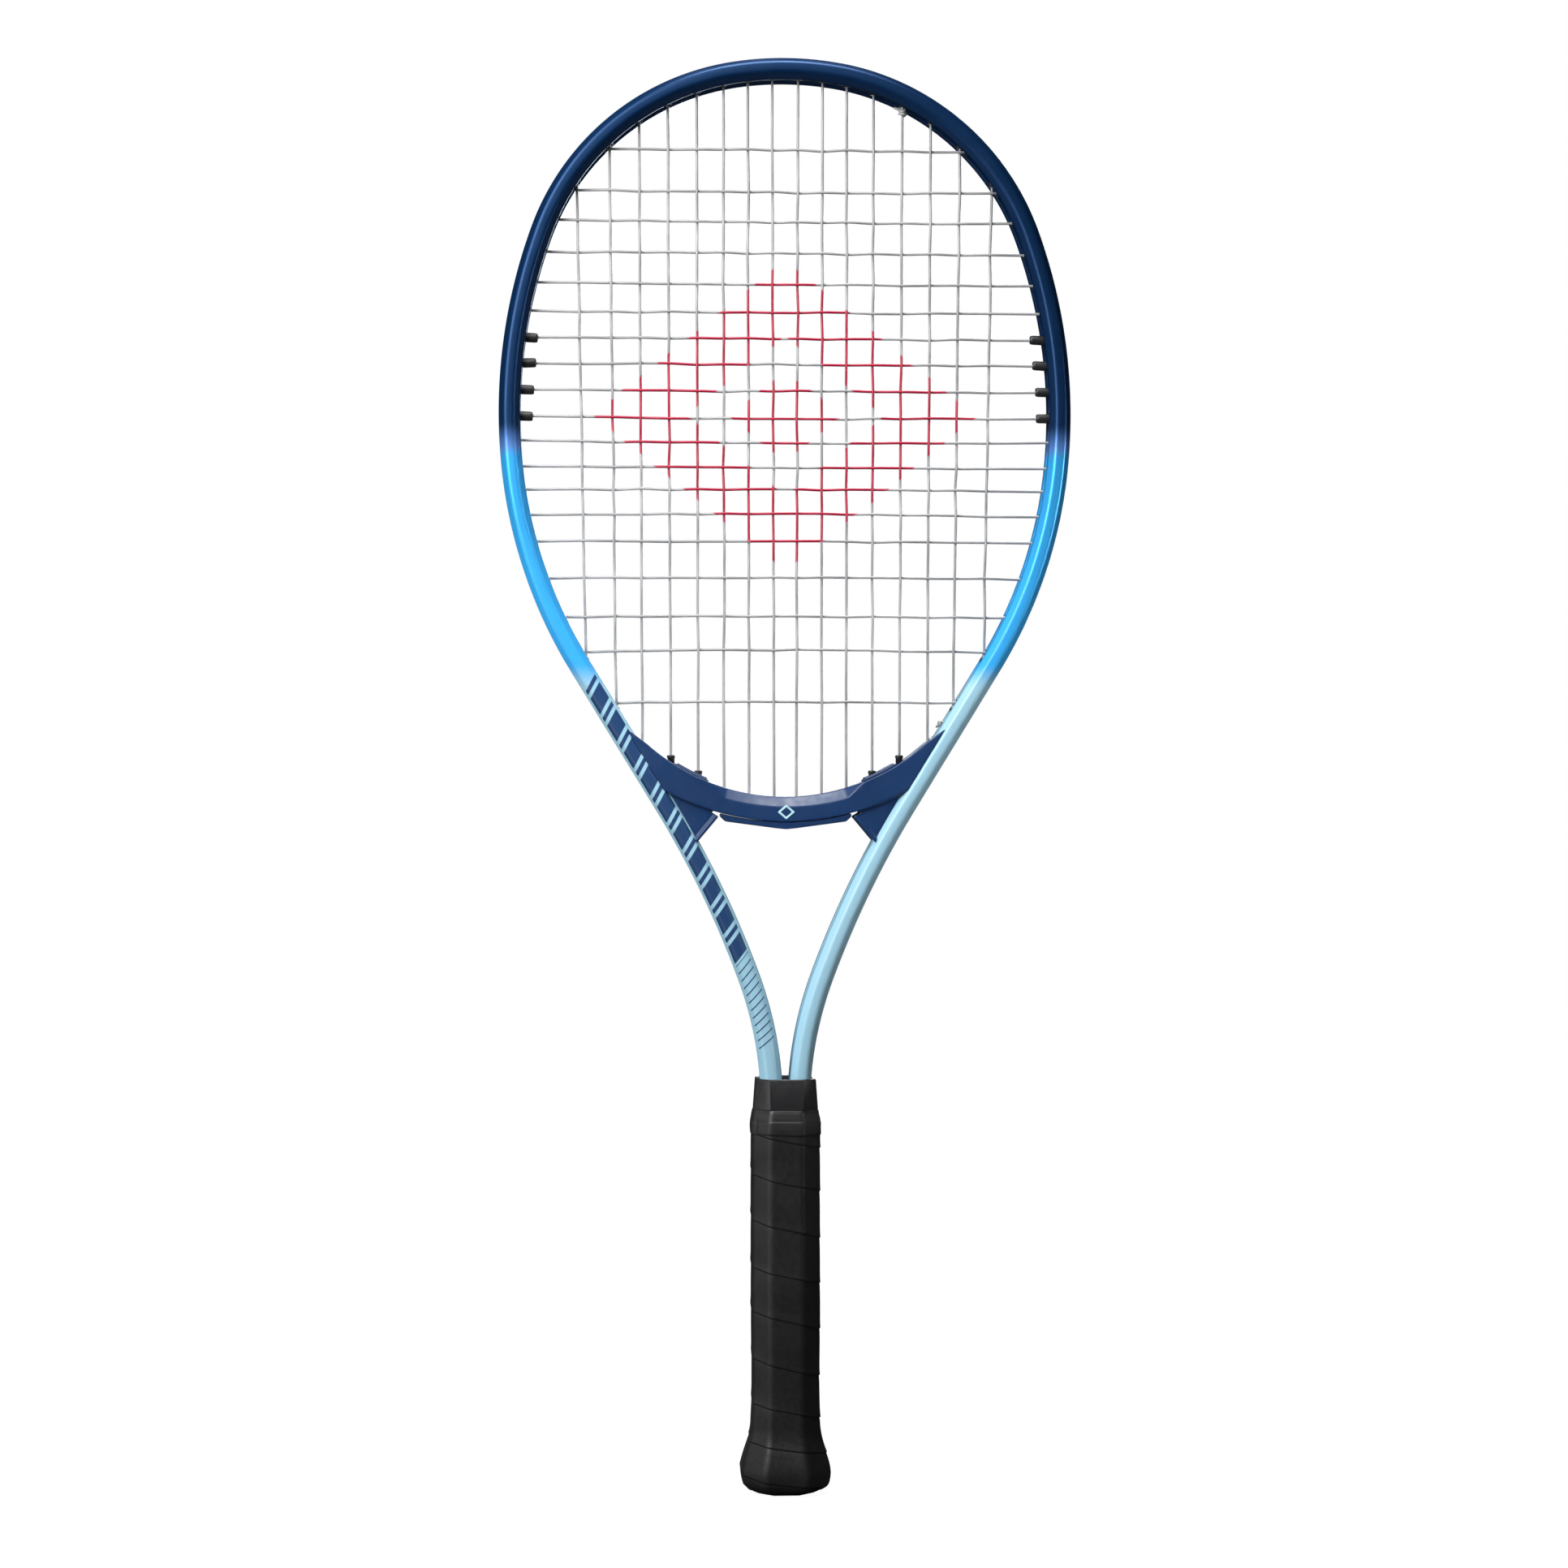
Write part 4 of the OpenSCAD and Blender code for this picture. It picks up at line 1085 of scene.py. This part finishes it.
def tape():
    """Two laps of tape that pin the top of the grip and hug the foot of the collar."""
    flap_from, flap_to = 0.18, 0.62
    tilt = 0.25 * np.sin(2 * math.pi * TURNS + 0.8)
    # Height, width and how much each row follows the tilt of the tape
    rows = [(TAPE_TOP - 0.1, 30.6, 0.3), (TAPE_TOP, 31.0, 0.3), (TAPE_TOP - 0.25, 31.5, 0.3),
            (TAPE_TOP - 2.2, 32.3, 0.3), (TAPE_TOP - 4.4, 33.2, 0.5), (TAPE_TOP - 5.2, 33.4, 1),
            (TAPE_TOP - 5.45, 33.5, 1), (TAPE_TOP - 5.6, 33.6, 1), (TAPE_TOP - 6.2, 33.8, 1),
            (TAPE_TOP - 8.5, 33.95, 1), (TAPE_TOP - 11.2, 33.9, 1), (TAPE_TOP - 11.9, 33.8, 1),
            (TAPE_TOP - 12.15, 33.5, 1), (TAPE_TOP - 12.2, 33.0, 1), (TAPE_TOP - 12.0, 30.6, 1)]
    points = []
    for z, width, follow in rows:
        base, normal = octagon_ring(width, 3.6)
        ripple = 0.05 * np.sin(2 * math.pi * 7 * TURNS + z)
        ripple += 0.04 * np.sin(2 * math.pi * 3 * TURNS + 2 * z)
        lift = 0.22 * (smoothstep(flap_from, flap_from + 0.004, TURNS) * (width > 33.55)
                       * (1 - smoothstep(flap_to - 0.3, flap_to, TURNS)))
        out = base + normal * (ripple + lift)[:, None] * (width > 31)
        points += [(x, y, z + follow * t) for (x, y), t in zip(out, tilt)]
    faces = grid_faces(len(rows), SIDES, wrap_rows=True)
    piece = new_object("tape_wound", points, faces, TAPE)
    clean(piece)
    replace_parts(piece, "finishing_tape")


tape()


# ---- Stage, lights and camera, in metres ---------------------------------------------------
FLOOR_RADIUS = 3.0
# Each light: name, place, what it faces, size, power in watts and spread in degrees
LIGHTS = [
    ("key_left", (-0.55, -0.64, 0.86), (0, 0, 0.42), (0.5, 0.8), 12.5, 180),
    ("low_left", (-0.6, -0.3, 0.16), (0, 0, 0.14), (0.25, 0.45), 1.0, 180),
    ("top_front", (-0.14, -0.7, 0.98), (0, 0, 0.69), (0.45, 0.2), 1.1, 180),
    ("right_fill", (0.95, -0.45, 0.40), (0, 0, 0.39), (0.3, 0.3), 0.14, 24),
    ("top_soft", (0, -0.12, 1.35), (0, 0, 0.33), (0.4, 0.5), 9, 180),
    ("back_soft", (0.3, 1.1, 0.8), (0, 0, 0.40), (0.5, 0.8), 12, 180),
]
WORLD_LIGHT = 0.015
CAMERA_TARGET = (-0.0006, 0, 0.342)
CAMERA_DISTANCE = 1.65
CAMERA_YAW = math.radians(3.1)
CAMERA_LENS = 78.3
SENSOR_WIDTH = 36


def camera_ray(shader_nodes):
    return shader_nodes.new("ShaderNodeLightPath").outputs["Is Camera Ray"]


def pale_floor():
    """Floor material that only the camera sees as bright, so that it throws no light upwards, with
    a painted shade near the racket.
    """
    s = Shader("pale_floor")
    x, y, _ = s.axes()
    away = s.math("POWER", s.math("ADD", s.math("MULTIPLY", x, x), s.math("MULTIPLY", y, y)), 0.5)
    # Painted shade: the glow is a little dimmer close to the racket, which darkens the floor round
    # its foot and lets its faint real shadows show
    glow_with_painted_shade = s.math("MULTIPLY", s.ramp(away, 0.1, 0.55, 0.96, 1.05), camera_ray(s.nodes))
    s.set(Base_Color=s.mix(s.noise(3, 2), (0.06, 0.06, 0.06, 1), (0.08, 0.08, 0.08, 1)),
          Roughness=0.8,
          Specular_IOR_Level=0.0,
          Emission_Color=WHITE,
          Emission_Strength=glow_with_painted_shade)
    return s.material


def stage():
    """Round floor under the racket."""
    turns = np.linspace(0, 2 * math.pi, 64, endpoint=False)
    points = [(FLOOR_RADIUS * math.cos(t), FLOOR_RADIUS * math.sin(t), 0) for t in turns]
    mesh = bpy.data.meshes.new("floor")
    mesh.from_pydata(points, [], [tuple(range(len(points)))])
    mesh.materials.append(pale_floor())
    floor = bpy.data.objects.new("floor", mesh)
    bpy.context.scene.collection.objects.link(floor)


def world():
    """White behind the racket for the camera, and only a little light from it."""
    sky = bpy.data.worlds.new("studio")
    sky.use_nodes = True
    nodes, links = sky.node_tree.nodes, sky.node_tree.links
    strength = nodes.new("ShaderNodeMapRange")
    links.new(camera_ray(nodes), strength.inputs["Value"])
    strength.inputs["To Min"].default_value = WORLD_LIGHT
    strength.inputs["To Max"].default_value = 1.0
    nodes["Background"].inputs[0].default_value = WHITE
    links.new(strength.outputs[0], nodes["Background"].inputs[1])
    bpy.context.scene.world = sky


def area_light(name, place, target, size, power, spread):
    light = bpy.data.lights.new(name, "AREA")
    light.shape = "RECTANGLE"
    light.size, light.size_y = size
    light.energy = power
    light.spread = math.radians(spread)
    obj = bpy.data.objects.new(name, light)
    obj.location = place
    obj.rotation_euler = (Vector(target) - Vector(place)).to_track_quat("-Z", "Y").to_euler()
    bpy.context.scene.collection.objects.link(obj)


def camera():
    """Level camera in front of the racket, a little to its left."""
    data = bpy.data.cameras.new("camera")
    data.sensor_width = SENSOR_WIDTH
    data.lens = CAMERA_LENS
    obj = bpy.data.objects.new("camera", data)
    obj.location = (CAMERA_TARGET[0] - CAMERA_DISTANCE * math.sin(CAMERA_YAW),
                    -CAMERA_DISTANCE * math.cos(CAMERA_YAW), CAMERA_TARGET[2])
    obj.rotation_euler = (math.pi / 2, 0, -CAMERA_YAW)
    bpy.context.scene.collection.objects.link(obj)
    bpy.context.scene.camera = obj


stage()
world()
for light in LIGHTS:
    area_light(*light)
camera()
bpy.context.scene.view_settings.view_transform = "Standard"
